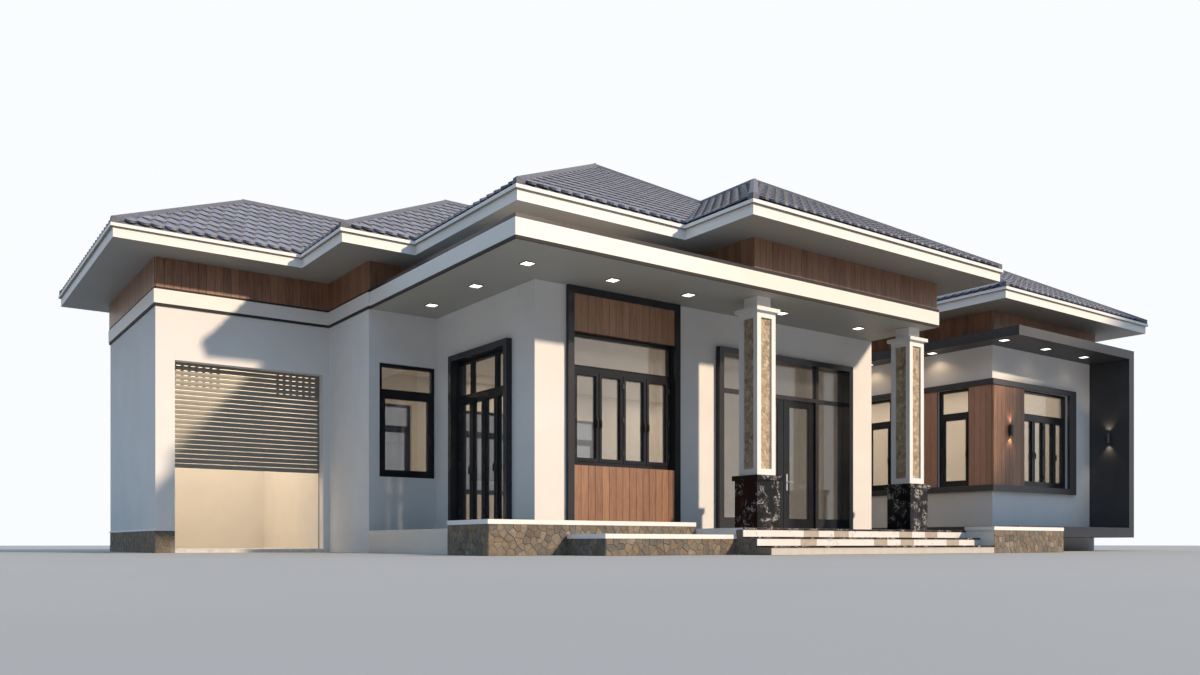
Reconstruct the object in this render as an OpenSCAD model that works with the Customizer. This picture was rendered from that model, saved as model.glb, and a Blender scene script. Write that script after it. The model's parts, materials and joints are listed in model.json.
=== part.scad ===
// Single-storey house: garage, side block, main block with a columned porch, and a right wing in a
// dark frame, under one family of hip roofs. Millimetres, Z = 0 at the driveway.
// Local plan: X = 0 at the side block's left face, Y = 0 at the porch canopy's front edge, Y goes
// to the back. place() moves it so that the origin is at the middle of the base.

/* [Plan] */
// Width of the garage, left face to the side block
garage_w = 2980; // [2700:10:3600]
// Width of the side block's front
side_w = 1260; // [1100:10:1800]
// Width of the main block
main_w = 7800; // [7600:10:8600]
// Width of the open court between main block and right wing
court_w = 2700; // [2400:10:3400]
// Width of the right wing
wing_w = 4060; // [3800:10:4800]
// Depth of the porch, canopy edge to main front wall
porch_d = 1535; // [1400:5:2000]
// Main front wall to side block's front
side_set = 3250; // [3200:10:3800]
// Side block's front to garage front
garage_set = 1845; // [1600:5:2400]
// Main front wall to the wall behind the court
link_set = 5095; // [5000:5:5800]
// How far the wing's front stands ahead of the main front
wing_ahead = 905; // [700:5:1100]
// Main front wall to the back face
house_d = 9155; // [8900:5:10500]
// Thickness of the outer walls
wall_t = 200; // [150:5:260]

/* [Levels] */
// Height of one step
riser_h = 125; // [110:1:150]
// Depth of one tread
tread_d = 270; // [250:5:330]
// Height of the garage floor over the driveway
garage_floor_z = 60; // [30:5:100]
// Underside of the canopy and of the ceiling slabs
slab_z = 4125; // [4060:5:4400]
// Thickness of the canopy and of the ceiling slabs
slab_t = 279; // [230:1:320]
// Height of the dark strip under the white course
strip_h = 45; // [30:1:70]
// Thickness of the dark strip
strip_t = 22; // [15:1:40]
// How far the dark strip stays behind the canopy's white edge
strip_in = 4; // [2:1:10]
// Height of the dark line between the white course and the boards
trim_h = 36; // [20:1:60]
// Height of the board band under the eaves
band_h = 493; // [400:1:600]
// How far the white course stands proud of the walls
belt_out = 30; // [20:1:50]
// Thickness of the board band
band_t = 24; // [15:1:40]

/* [Roof] */
// Eave line to wall face
eave_over = 815; // [600:5:950]
// Pitch of every slope in degrees
roof_pitch = 30; // [25:1:34]
// Thickness of the roof, measured upright
roof_t = 150; // [100:5:220]
// Thickness of the soffit boards
soffit_t = 20; // [12:1:30]
// Height of the fascia board
fascia_h = 150; // [120:1:200]
// Height of the shadow groove over the fascia board
groove_h = 12; // [8:1:20]
// Depth of the shadow groove
groove_d = 10; // [5:1:15]
// Height of the drip strip over the groove
drip_h = 52; // [40:1:80]
// How far the drip strip stands proud of the fascia board
drip_out = 40; // [20:1:60]
// Thickness of the fascia board
fascia_t = 28; // [20:1:40]
// Radius of the ridge and hip caps
cap_r = 85; // [60:5:120]

/* [Porch] */
// Side block's left face to the steps
steps_x = 3000; // [2800:10:3100]
// Width of the steps
steps_w = 5200; // [4900:10:5300]
// Canopy edge back to the fronts' top riser
porch_out = 1110; // [1000:5:1300]
// Thickness of a stone tread
tread_t = 25; // [20:1:35]
// How far a tread's nosing stands out
nosing = 18; // [10:1:25]
// Canopy edges to the board-clad parapet
parapet_in = 35; // [20:1:60]
// Side block's left face to the parapet
parapet_x = 4340; // [4100:10:4400]
// Thickness of the parapet
parapet_t = 120; // [90:5:150]

/* [Columns] */
// Side block's left face to the left column's centre
column_1_x = 4823; // [4750:1:5000]
// Main block's right face to the right column's centre
column_2_in = 347; // [290:1:400]
// Canopy edge to the columns' centres
column_y = 436; // [400:1:640]
// Width of a column's base
base_w = 510; // [480:5:560]
// Height of a column's base without its cap
base_h = 795; // [750:5:900]
// Height of the base's cap
base_cap_h = 80; // [60:2:110]
// How far the base's cap stands out
base_cap_out = 35; // [20:1:50]
// Width of a shaft
shaft_w = 414; // [400:1:460]
// Width of a shaft's stone panels
panel_w = 240; // [220:5:280]
// Depth of the recess for a stone panel
panel_in = 50; // [20:1:60]
// Thickness of a stone panel
panel_t = 12; // [8:1:15]
// Shaft left plain under a panel
panel_foot = 105; // [60:5:150]
// Shaft left plain over a panel
panel_head = 100; // [80:5:200]
// Width of the capital
capital_w = 520; // [480:5:560]
// Height of the capital
capital_h = 60; // [50:1:90]
// Width of the neck over the capital
neck_w = 300; // [260:5:340]
// Height of the neck over the capital
neck_h = 190; // [140:5:220]

/* [Planters] */
// Thickness of a planter's wall
planter_t = 120; // [100:5:150]
// Thickness of a planter's bottom
planter_base_t = 80; // [60:5:100]
// Thickness of a coping
coping_t = 60; // [40:2:80]
// How far a coping stands out
coping_out = 15; // [10:1:25]
// High left planter, left face beyond the canopy's
high_left = 470; // [300:10:600]
// High left planter, front face ahead of the canopy's
high_front = 120; // [60:5:200]
// Depth of the high left planter
high_d = 1100; // [900:10:1300]
// Top of the high left planter
high_z = 465; // [450:5:560]
// Side block's left face to the low left planter
low_x = 735; // [600:5:900]
// Depth of the low left planter
low_d = 860; // [700:5:980]
// Top of the low left planter
low_z = 280; // [240:5:330]
// Width of the right planter
right_w = 2140; // [1900:10:2400]
// Top of the right planter
right_z = 440; // [410:5:520]

/* [Garage front] */
// Left pier of the garage front
garage_pier_l = 305; // [250:5:400]
// Right pier of the garage front
garage_pier_r = 112; // [105:1:250]
// Head of the garage opening
garage_head = 3250; // [3000:5:3400]
// Bottom of the half-open shutter
shutter_z = 1455; // [1000:5:2600]
// Pitch of the shutter's slats
slat_pitch = 80; // [60:1:110]
// Thickness of the shutter's slats
slat_t = 18; // [14:1:22]
// Gap between two slats
slat_gap = 6; // [4:1:10]
// Width of a shutter guide
guide_w = 60; // [50:1:75]
// Depth of a shutter guide
guide_d = 60; // [50:1:75]
// Height of the shutter's roll housing
roll_h = 360; // [320:5:420]
// Depth of the shutter's roll housing
roll_d = 360; // [320:5:420]
// Clearance round the shutter's edges
shutter_clear = 1; // [0.5:0.5:3]

/* [Windows] */
// Width of a window frame's members
frame_w = 60; // [45:1:80]
// Depth of the window frames
frame_d = 70; // [60:1:90]
// Width of the fixed bars inside a frame
bar_w = 90; // [60:1:100]
// Width of a casement's stiles and rails
sash_w = 65; // [50:1:75]
// Thickness of the glass
glass_t = 20; // [12:1:26]
// Wall face to window frame
reveal = 50; // [30:1:60]
// Side block's left face to its window
side_win_l = 190; // [150:5:300]
// Side block's window to the main block
side_win_r = 20; // [15:5:100]
// Sill of the side block's window
side_win_z = 1300; // [900:5:1500]
// Head of the side block's window
side_win_head = 3245; // [3100:5:3400]
// Main front wall to the tall glazed unit's surround
tall_y = 665; // [550:5:700]
// Width of the tall unit's surround
tall_w = 1954; // [1800:2:2300]
// Head of the tall unit's surround
tall_head = 3347; // [3200:1:3500]
// Width of the face of the tall unit's surround
tall_face = 100; // [80:5:120]
// Height of the tall unit's upper lights
tall_transom_h = 585; // [450:5:700]
// Height of the side window's upper light
side_transom_h = 440; // [350:5:600]
// Height of the upper lights of the wing's and rear windows
wing_transom_h = 500; // [400:5:650]
// Sill of the wing's windows
wing_win_z = 1368; // [1250:2:1500]
// Head of the wing's windows
wing_win_head = 3430; // [3300:5:3600]
// Wing's left face to its front window
wing_win_x = 1130; // [1000:5:1250]
// Width of the wing's front window
wing_win_w = 1770; // [1600:10:1900]
// Wing's front face to its first side window
wing_side_1_y = 525; // [450:5:560]
// Width of the wing's first side window
wing_side_1_w = 765; // [700:5:800]
// Wing's front face to its second side window
wing_side_2_y = 2515; // [2400:5:2700]
// Width of the wing's second side window
wing_side_2_w = 1900; // [1500:10:2000]
// Width of the windows of the back and right walls
rear_win_w = 1500; // [1200:10:1800]
// Wing's front face to its first right window
rear_y_1 = 1700; // [1400:10:2000]
// Wing's front face to its second right window
rear_y_2 = 6200; // [5600:10:6400]
// Main block's left face to its first rear window
rear_x_1 = 700; // [500:10:900]
// Main block's left face to its second rear window
rear_x_2 = 3500; // [3200:10:3700]
// Main block's left face to its third rear window
rear_x_3 = 6100; // [5800:10:6300]
// Wing's left face to its rear window
rear_x_4 = 1200; // [1000:10:1400]

/* [Front window] */
// Main block's left face to the front window's surround
box_x = 570; // [450:5:640]
// Width of the front window's surround
box_w = 2250; // [2000:10:2300]
// Width of the surround's face
box_face = 112; // [90:1:160]
// How far the surrounds stand out of the walls
box_out = 100; // [60:5:140]
// How far the front window's surround stands out
window_out = 65; // [45:5:140]
// Bottom of the front window over the porch floor
box_sill = 995; // [850:5:1100]
// Height of the front window
box_win_h = 2060; // [1800:10:2200]
// Height of the front window's upper light
box_transom_h = 500; // [400:5:650]
// Surround's front to the board panels
board_in = 30; // [20:1:40]

/* [Entrance] */
// Entrance surround to the main block's right face
door_box_in = 666; // [640:2:700]
// Width of the entrance surround
door_box_w = 3459; // [3380:1:3480]
// Top of the entrance surround
door_box_head = 3540; // [3400:5:3650]
// Width of the entrance surround's face
door_face = 100; // [80:5:120]
// Width of the left sidelight
sidelight_w = 765; // [650:5:800]
// Width of the posts beside the doors
post_w = 80; // [70:1:100]
// Width of the doorway between the posts
doorway_w = 1640; // [1600:5:1700]
// Height of the doorway over the floor
doorway_h = 2420; // [2200:5:2500]
// Height of the bar over the doorway
head_bar_h = 70; // [60:1:100]
// Height of the sill under a sidelight
sidelight_sill = 240; // [200:5:280]
// Depth of the entrance frame's posts and bars
post_d = 90; // [80:1:110]
// Wall face to the posts
post_in = 60; // [40:1:70]
// Thickness of a door leaf
leaf_t = 50; // [44:1:60]
// Width of a door leaf's stiles
stile_w = 150; // [120:1:170]
// Height of a door leaf's bottom rail
bottom_rail_h = 230; // [180:5:280]
// Height of a door leaf's top rail
top_rail_h = 120; // [100:5:150]
// Gap between leaf and posts, floor and bar
leaf_gap = 8; // [6:1:12]
// Gap between the two leaves
meeting_gap = 12; // [10:1:16]
// Centre of the lever over the floor
lever_h = 900; // [850:5:1100]

/* [Dark frame of the wing] */
// How far the frame stands ahead of the wing's front
frame_out = 890; // [700:5:1000]
// How far the frame stands out of the wing's left side
frame_side = 500; // [400:5:600]
// Underside of the top slab
top_slab_z = 4235; // [4180:5:4245]
// Thickness of the top slab
top_slab_t = 190; // [150:5:200]
// Width of the upright fin
fin_w = 210; // [180:5:260]
// Underside of the bottom slab
base_slab_z = 290; // [250:5:330]
// Thickness of the bottom slab
base_slab_t = 215; // [180:5:250]
// Height of the dark band under the wing's windows
low_band_h = 125; // [100:5:150]
// Height of the dark band over the wing's windows
high_band_h = 116; // [90:2:140]
// How far the dark bands stand proud
strip_out = 60; // [40:1:80]
// Width of the dark upright right of the front window
strip_end_w = 270; // [200:5:320]
// Length of the boards behind the first side window
side_board_w = 325; // [250:5:400]

/* [Lamps] */
// Side of a square downlight
lamp_w = 150; // [120:5:180]
// Thickness of a downlight
lamp_t = 12; // [8:1:20]
// Canopy edges to the downlights' centres
lamp_in = 735; // [700:5:840]
// Distance between the porch downlights
lamp_step = 1505; // [1450:5:1560]
// Canopy's front edge to the row of downlights
lamp_row = 890; // [840:5:1050]
// Fourth porch downlight to the main block's right face
lamp_4_in = 3190; // [2900:10:3300]
// Fifth porch downlight to the main block's right face
lamp_5_in = 1180; // [1000:10:1250]
// Dark frame's front edge to its downlights
frame_lamp_in = 470; // [400:5:540]
// Distance between the downlights along the dark frame's side
frame_lamp_y = 1680; // [1500:10:1800]
// Distance between the downlights along the dark frame's front
frame_lamp_x = 1530; // [1450:10:1600]
// Centre of the wall lamps over the driveway
wall_lamp_z = 2517; // [2200:5:2700]
// Radius of a wall lamp
wall_lamp_r = 45; // [35:1:55]
// Height of a wall lamp
wall_lamp_h = 220; // [180:5:260]
// Wing's left face to the front wall lamp
wall_lamp_x = 580; // [500:5:640]

/* [Hidden] */
$fn = 48;
// Clearance between two roofs where one is cut round the other
seam = 0.2;
// How far a cutting roof runs on below the eaves
cut_foot = 100;
// How far a cap runs past its line's ends, and stays back from the eave
cap_lap = 30;
cap_lift = 12;
// How much larger the level caps are than the hips' caps
cap_step = 7;
plaster = "#e9e6e0";
shade_white = "#f4f2ee";
charcoal = "#3a3c40";
board = "#7a4a35";
stone = "#a58d72";
marble = "#26232a";
tile = "#7d7a80";
pane = "#8fa3b5";
steel = "#b8babd";
shutter_grey = "#c9c4b8";
floor_stone = "#d9d4ca";

garage_x = -garage_w;
main_x = side_w;
main_end = main_x + main_w;
wing_x = main_end + court_w;
wing_end = wing_x + wing_w;
main_y = porch_d;
side_y = main_y + side_set;
garage_y = side_y + garage_set;
link_y = main_y + link_set;
wing_y = main_y - wing_ahead;
back_y = main_y + house_d;
frame_y = wing_y - frame_out;

floor_z = 3 * riser_h;
slab_top = slab_z + slab_t;
band_z = slab_top + trim_h;
soffit_z = band_z + band_h;
roof_z = soffit_z + fascia_h + groove_h + drip_h;

parapet_y = parapet_in;
parapet_end = main_end - parapet_in;
steps_end = steps_x + steps_w;
steps_y = -porch_out - 2 * tread_d;
right_end = steps_end + right_w;
right_front = steps_y;
front_y = right_front - coping_out;

// Eave rectangles [left, front, right, back]: back bar, middle, main, entrance, wing
eave_back = back_y + eave_over;
bar_eave = [garage_x - eave_over, garage_y - eave_over, wing_end + eave_over, eave_back];
mid_eave = [-eave_over, side_y - eave_over, main_end + eave_over, eave_back];
main_eave = [main_x - eave_over, main_y - eave_over, main_end + eave_over, eave_back];
entry_eave = [parapet_x - eave_over, parapet_y - eave_over, main_end + eave_over, eave_back];
wing_eave = [wing_x - eave_over, wing_y - eave_over, wing_end + eave_over, eave_back];
eaves = [bar_eave, mid_eave, main_eave, entry_eave, wing_eave];

centre_x = (bar_eave[0] + bar_eave[2]) / 2;
centre_y = (front_y + eave_back) / 2;

// Outer faces of the blocks' walls, as rectangles
garage_plan = [garage_x, garage_y, 0, back_y];
side_plan = [0, side_y, main_x, back_y];
main_plan = [main_x, main_y, main_end, back_y];
link_plan = [main_end, link_y, wing_x, back_y];
wing_plan = [wing_x, wing_y, wing_end, back_y];
house_plans = [side_plan, main_plan, link_plan, wing_plan];
all_plans = [garage_plan, side_plan, main_plan, link_plan, wing_plan];

door_box_right = main_end - door_box_in;
door_box_left = door_box_right - door_box_w;
box_left = main_x + box_x;
box_right = box_left + box_w;
post_1 = door_box_left + door_face + sidelight_w;
doorway_x = post_1 + post_w;
post_2 = doorway_x + doorway_w;
doorway_top = floor_z + doorway_h;
post_y = main_y + post_in;
leaf_y = post_y + post_d - leaf_t;
leaf_w = (doorway_w - 2 * leaf_gap - meeting_gap) / 2;
leaf_h = doorway_h - 2 * leaf_gap;
leaf_z = floor_z + leaf_gap;
hinge_r = 9;
hinge_pin_r = 5;
hinge_play = 0.1;
hinge_h = 40;
hinge_heights = [200, leaf_h / 2, leaf_h - 200];
rear_win_ys = [wing_y + rear_y_1, wing_y + rear_y_2];
rear_win_xs = [main_x + rear_x_1, main_x + rear_x_2, main_x + rear_x_3, wing_x + rear_x_4];

module place() translate([-centre_x, -centre_y, 0]) children();

// Box between two corners, each given as [low, high]
module block(x, y, z)
    translate([x[0], y[0], z[0]]) cube([x[1] - x[0], y[1] - y[0], z[1] - z[0]]);

// Union of rectangles, each shrunk by inset on every side
module rects(list, inset = 0)
    for (r = list)
        translate([r[0] + inset, r[1] + inset])
            square([r[2] - r[0] - 2 * inset, r[3] - r[1] - 2 * inset]);

// Puts a window drawn in X and Z, with its depth along +Y, into a wall's outer face
module in_front_wall(x, y, z) translate([x, y + reveal, z]) children();
module in_left_wall(x, y, z)
    translate([x + reveal, y, z]) rotate([0, 0, 90]) mirror([0, 1, 0]) children();
module in_right_wall(x, y, z) translate([x - reveal, y, z]) rotate([0, 0, 90]) children();
module in_back_wall(x, y, z) translate([x, y - reveal, z]) mirror([0, 1, 0]) children();

// Lights of a window as [x, z, width, height]: over the bar fixed lights with the given shares of the
// width, below it a row of casements side by side
function total(v, n) = n == 0 ? 0 : v[n - 1] + total(v, n - 1);
function top_lights(w, h, upper_h, shares) =
    let (n = len(shares), unit_w = (w - 2 * frame_w - (n - 1) * sash_w) / total(shares, n))
        [for (i = [0:n - 1]) [frame_w + i * sash_w + total(shares, i) * unit_w, h - upper_h,
                              shares[i] * unit_w, upper_h - frame_w]];
function low_lights(w, h, n) =
    let (lw = (w - 2 * frame_w) / n)
        [for (i = [0:n - 1]) [frame_w + i * lw + sash_w, frame_w + sash_w,
                              lw - 2 * sash_w, h - frame_w - 2 * sash_w]];
function lights(w, h, upper_h, casements, shares) =
    concat(low_lights(w, h - upper_h - bar_w, casements), top_lights(w, h, upper_h, shares));

module window_frame(w, h, upper_h, casements, shares)
    difference() {
        cube([w, frame_d, h]);
        for (l = lights(w, h, upper_h, casements, shares))
            translate([l[0], -1, l[1]]) cube([l[2], frame_d + 2, l[3]]);
    }

module window_panes(w, h, upper_h, casements, shares)
    for (l = lights(w, h, upper_h, casements, shares))
        translate([l[0], (frame_d - glass_t) / 2, l[1]]) cube([l[2], glass_t, l[3]]);

module unit(w, h, upper_h, casements, shares, panes)
    if (panes) window_panes(w, h, upper_h, casements, shares);
    else window_frame(w, h, upper_h, casements, shares);

// Every fixed window, as a frame or as its panes
module fixed_windows(panes = false) {
    wing_win_h = wing_win_head - wing_win_z;
    in_front_wall(side_win_l, side_y, side_win_z)
        unit(main_x - side_win_l - side_win_r, side_win_head - side_win_z, side_transom_h, 1, [1],
             panes);
    in_left_wall(main_x, main_y + tall_y + tall_face, floor_z)
        unit(tall_w - 2 * tall_face, tall_head - tall_face - floor_z, tall_transom_h, 4, [1, 2, 1],
             panes);
    in_front_wall(box_left + box_face, main_y, floor_z + box_sill)
        unit(box_w - 2 * box_face, box_win_h, box_transom_h, 4, [1], panes);
    in_front_wall(wing_x + wing_win_x, wing_y, wing_win_z)
        unit(wing_win_w, wing_win_h, wing_transom_h, 4, [1], panes);
    in_left_wall(wing_x, wing_y + wing_side_1_y, wing_win_z)
        unit(wing_side_1_w, wing_win_h, wing_transom_h, 1, [1], panes);
    in_left_wall(wing_x, wing_y + wing_side_2_y, wing_win_z)
        unit(wing_side_2_w, wing_win_h, wing_transom_h, 3, [1], panes);
    for (y = rear_win_ys)
        in_right_wall(wing_end, y, wing_win_z)
            unit(rear_win_w, wing_win_h, wing_transom_h, 2, [1], panes);
    for (x = rear_win_xs)
        in_back_wall(x, back_y, wing_win_z)
            unit(rear_win_w, wing_win_h, wing_transom_h, 2, [1], panes);
}

// Floors and steps

module house_floor() color(floor_stone) place() linear_extrude(floor_z) rects(house_plans);

module garage_floor() color(floor_stone) place() linear_extrude(garage_floor_z) rects([garage_plan]);

module porch_floor() color(floor_stone) place() {
    block([steps_x, wing_x - frame_side], [-porch_out, main_y], [0, floor_z]);
    block([main_end, wing_x - frame_side], [main_y - 1, link_y], [0, floor_z]);
    block([0, steps_x + 1], [high_d - high_front, main_y], [0, floor_z]);
    block([0, main_x], [main_y - 1, side_y], [0, floor_z]);
}

module step_risers() color(floor_stone) place()
    for (i = [0:1])
        block([steps_x, steps_end],
              [steps_y + i * tread_d, -porch_out],
              [max(0, i * riser_h - tread_t), (i + 1) * riser_h - tread_t]);

module step_treads() color(marble) place()
    for (i = [0:1])
        block([steps_x, steps_end],
              [steps_y + i * tread_d - nosing * 0.8, steps_y + (i + 1) * tread_d],
              [(i + 1) * riser_h - tread_t, (i + 1) * riser_h]);

// Planters: open troughs under white copings

module trough(x, y, top)
    difference() {
        block(x, y, [0, top - coping_t]);
        block([x[0] + planter_t, x[1] - planter_t], [y[0] + planter_t, y[1] - planter_t],
              [planter_base_t, top]);
    }

module coping(x, y, top)
    difference() {
        block([x[0] - coping_out, x[1]], [y[0] - coping_out, y[1]], [top - coping_t, top]);
        block([x[0] + planter_t, x[1] - planter_t], [y[0] + planter_t, y[1] - planter_t],
              [top - coping_t - 1, top + 1]);
    }

high_span = [[-high_left, steps_x], [-high_front, high_d - high_front]];
low_span = [[low_x, steps_x], [-high_front - low_d, -high_front]];
right_span = [[steps_end, right_end], [right_front, -porch_out]];

module left_planters() color(stone) place() {
    trough(high_span[0], high_span[1], high_z);
    trough(low_span[0], low_span[1], low_z);
}

module right_planter() color(stone) place() trough(right_span[0], right_span[1], right_z);

module planter_copings() color(shade_white) place() {
    coping(high_span[0], high_span[1], high_z);
    difference() {
        coping(low_span[0], low_span[1], low_z);
        block([-high_left, steps_x], [-high_front, 0], [0, high_z]);
    }
    coping(right_span[0], right_span[1], right_z);
}

// Columns

column_spots = [[column_1_x, column_y], [main_end - column_2_in, column_y]];
shaft_z = floor_z + base_h + base_cap_h;
shaft_top = slab_z - neck_h - capital_h;

module on_columns() for (p = column_spots) translate([p[0], p[1], 0]) children();

module post(w, z0, z1) translate([-w / 2, -w / 2, z0]) cube([w, w, z1 - z0]);

module column_bases() color(marble) place() on_columns() {
    post(base_w, floor_z, floor_z + base_h);
    post(base_w + 2 * base_cap_out, floor_z + base_h, shaft_z);
}

module panel_slots(depth)
    for (a = [0:90:270])
        rotate([0, 0, a])
            translate([-panel_w / 2, shaft_w / 2 - panel_in, shaft_z + panel_foot])
                cube([panel_w, depth, shaft_top - panel_head - shaft_z - panel_foot]);

module column_shafts() color(shade_white) place() on_columns() {
    difference() {
        post(shaft_w, shaft_z, shaft_top);
        panel_slots(panel_in + 1);
    }
    post(capital_w, shaft_top, shaft_top + capital_h);
    post(neck_w, shaft_top + capital_h, slab_z);
}

module column_panels() color(stone) place() on_columns() panel_slots(panel_t);

// Walls

module garage_left_wall() color(plaster) place()
    block([garage_x, garage_x + wall_t], [garage_y + wall_t, back_y - wall_t],
          [garage_floor_z, soffit_z]);

module garage_back_wall() color(plaster) place()
    block([garage_x, 0], [back_y - wall_t, back_y], [garage_floor_z, soffit_z]);

module garage_front_piers() color(plaster) place() {
    block([garage_x, garage_x + garage_pier_l], [garage_y, garage_y + wall_t],
          [garage_floor_z, garage_head]);
    block([-garage_pier_r, 0], [garage_y, garage_y + wall_t], [garage_floor_z, garage_head]);
}

module garage_front_lintel() color(plaster) place()
    block([garage_x, 0], [garage_y, garage_y + wall_t], [garage_head, soffit_z]);

module garage_partition() color(plaster) place()
    block([0, wall_t], [side_y + wall_t, back_y - wall_t], [floor_z, soffit_z]);

module side_front_wall() color(plaster) place()
    difference() {
        block([0, main_x], [side_y, side_y + wall_t], [floor_z, soffit_z]);
        block([side_win_l, main_x - side_win_r], [side_y - 1, side_y + wall_t + 1],
              [side_win_z, side_win_head]);
    }

module main_left_wall() color(plaster) place()
    difference() {
        block([main_x, main_x + wall_t], [main_y + wall_t, side_y + wall_t], [floor_z, soffit_z]);
        block([main_x - 1, main_x + wall_t + 1], [main_y + tall_y, main_y + tall_y + tall_w],
              [floor_z - 1, tall_head]);
    }

module main_front_piers() color(plaster) place()
    for (x = [[main_x, box_left], [box_right, door_box_left], [door_box_right, main_end]])
        block(x, [main_y, main_y + wall_t], [floor_z, slab_z]);

module main_front_lintel() color(plaster) place() {
    block([main_x, main_end], [main_y, main_y + wall_t], [slab_z, soffit_z]);
    block([door_box_left, door_box_right], [main_y, main_y + wall_t], [door_box_head, slab_z + 1]);
}

module main_right_wall() color(plaster) place()
    block([main_end - wall_t, main_end], [main_y + wall_t, link_y + wall_t], [floor_z, soffit_z]);

module link_front_wall() color(plaster) place()
    block([main_end, wing_x], [link_y, link_y + wall_t], [floor_z, soffit_z]);

module wing_left_wall() color(plaster) place()
    difference() {
        block([wing_x, wing_x + wall_t], [wing_y + wall_t, link_y + wall_t], [floor_z, soffit_z]);
        for (w = [[wing_side_1_y, wing_side_1_w], [wing_side_2_y, wing_side_2_w]])
            block([wing_x - 1, wing_x + wall_t + 1], [wing_y + w[0], wing_y + w[0] + w[1]],
                  [wing_win_z, wing_win_head]);
    }

module wing_front_wall() color(plaster) place()
    difference() {
        block([wing_x, wing_end], [wing_y, wing_y + wall_t], [floor_z, soffit_z]);
        block([wing_x + wing_win_x, wing_x + wing_win_x + wing_win_w],
              [wing_y - 1, wing_y + wall_t + 1], [wing_win_z, wing_win_head]);
    }

module wing_right_wall() color(plaster) place()
    difference() {
        block([wing_end - wall_t, wing_end], [wing_y + wall_t, back_y - wall_t],
              [floor_z, soffit_z]);
        for (y = rear_win_ys)
            block([wing_end - wall_t - 1, wing_end + 1], [y, y + rear_win_w],
                  [wing_win_z, wing_win_head]);
    }

module back_wall() color(plaster) place()
    difference() {
        block([0, wing_end], [back_y - wall_t, back_y], [floor_z, soffit_z]);
        for (x = rear_win_xs)
            block([x, x + rear_win_w], [back_y - wall_t - 1, back_y + 1],
                  [wing_win_z, wing_win_head]);
    }

// Slabs, courses and eaves

garage_room = [garage_x + wall_t, garage_y + wall_t, 0, back_y - wall_t];
side_room = [wall_t, side_y + wall_t, main_x + wall_t + 1, back_y - wall_t];
main_room = [main_x + wall_t, main_y + wall_t, main_end - wall_t, back_y - wall_t];
link_room = [main_end - wall_t - 1, link_y + wall_t, wing_x + wall_t + 1, back_y - wall_t];
wing_room = [wing_x + wall_t, wing_y + wall_t, wing_end - wall_t, back_y - wall_t];

module ceiling_slab() color(shade_white) place()
    translate([0, 0, slab_z]) linear_extrude(slab_t)
        rects([garage_room, side_room, main_room, link_room, wing_room]);

canopy_plan = [[0, 0, main_end, main_y], [0, main_y - 1, main_x, side_y]];
canopy_in = strip_in + strip_t;
canopy_body = [[canopy_in, canopy_in, main_end - canopy_in, main_y],
               [canopy_in, main_y - 1, main_x, side_y]];
canopy_strip = [[strip_in, strip_in, main_end - strip_in, main_y],
                [strip_in, main_y - 1, main_x, side_y]];

module porch_canopy() color(shade_white) place() {
    translate([0, 0, slab_z + strip_h]) linear_extrude(slab_t - strip_h) rects(canopy_plan);
    translate([0, 0, slab_z]) linear_extrude(strip_h + 1) rects(canopy_body);
}

frame_plan = [
    [wing_x - frame_side, frame_y, wing_end, wing_y],
    [wing_x - frame_side, wing_y - 1, wing_x, link_y]
];

// What lies round the walls' outer faces, clear of the canopy and the wing's frame
module wall_ring(out)
    difference() {
        rects(all_plans, -out);
        rects(all_plans);
        rects(canopy_plan);
        rects(frame_plan);
    }

module belt_course() color(shade_white) place()
    translate([0, 0, slab_z + strip_h]) linear_extrude(slab_t - strip_h) wall_ring(belt_out);

module dark_strip() color(charcoal) place()
    translate([0, 0, slab_z]) linear_extrude(strip_h) {
        wall_ring(strip_t);
        difference() {
            rects(canopy_strip);
            rects(canopy_body);
        }
    }

module board_band() color(board) place()
    translate([0, 0, band_z]) linear_extrude(band_h)
        difference() {
            rects(all_plans, -band_t);
            rects(all_plans);
            rects([[parapet_x, parapet_y, parapet_end, main_y]]);
        }

module entrance_parapet() color(board) place()
    translate([0, 0, slab_top]) linear_extrude(soffit_z - slab_top)
        difference() {
            rects([[parapet_x, parapet_y, parapet_end, main_y]]);
            rects([[parapet_x + parapet_t, parapet_y + parapet_t, parapet_end - parapet_t,
                    main_y + 1]]);
        }

module soffit() color(shade_white) place()
    translate([0, 0, soffit_z]) linear_extrude(soffit_t) rects(eaves, drip_out + fascia_t);

module eave_ring(outer, z, h)
    translate([0, 0, z]) linear_extrude(h)
        difference() {
            rects(eaves, outer);
            rects(eaves, drip_out + fascia_t);
        }

module fascia() color(shade_white) place() {
    eave_ring(drip_out, soffit_z, fascia_h);
    eave_ring(drip_out + groove_d, soffit_z, fascia_h + groove_h + 1);
    eave_ring(0, roof_z - drip_h, drip_h);
}

// Roofs: every slope has the same pitch and springs from one level, so valleys form by themselves

module hip(r, inset = 0, foot = 0) {
    x = [r[0] + inset - foot, r[2] - inset + foot];
    y = [r[1] + inset - foot, r[3] - inset + foot];
    translate([0, 0, roof_z - rise(foot)])
        intersection() {
            translate([x[0], 0, 0]) rotate([90, 0, 90]) linear_extrude(x[1] - x[0])
                polygon([[y[0], 0], [y[1], 0], [(y[0] + y[1]) / 2, rise((y[1] - y[0]) / 2)]]);
            translate([0, y[1], 0]) rotate([90, 0, 0]) linear_extrude(y[1] - y[0])
                polygon([[x[0], 0], [x[1], 0], [(x[0] + x[1]) / 2, rise((x[1] - x[0]) / 2)]]);
        }
}

function rise(run) = run * tan(roof_pitch);

// The hollow under a roof: its slopes lowered by the roof's thickness, run on below the eaves
module hollow(r) hip(r, roof_t / tan(roof_pitch), cut_foot);

// A roof as cut out of its lower neighbours, with a hair's clearance over its slopes
module cutter(r) hip(r, -seam / tan(roof_pitch), cut_foot);

// One side of the middle of the main block
module side_of_main(x0, x1)
    block([x0, x1], [-house_d, eave_back + cut_foot], [roof_z - cut_foot, roof_z + house_d]);

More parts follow.
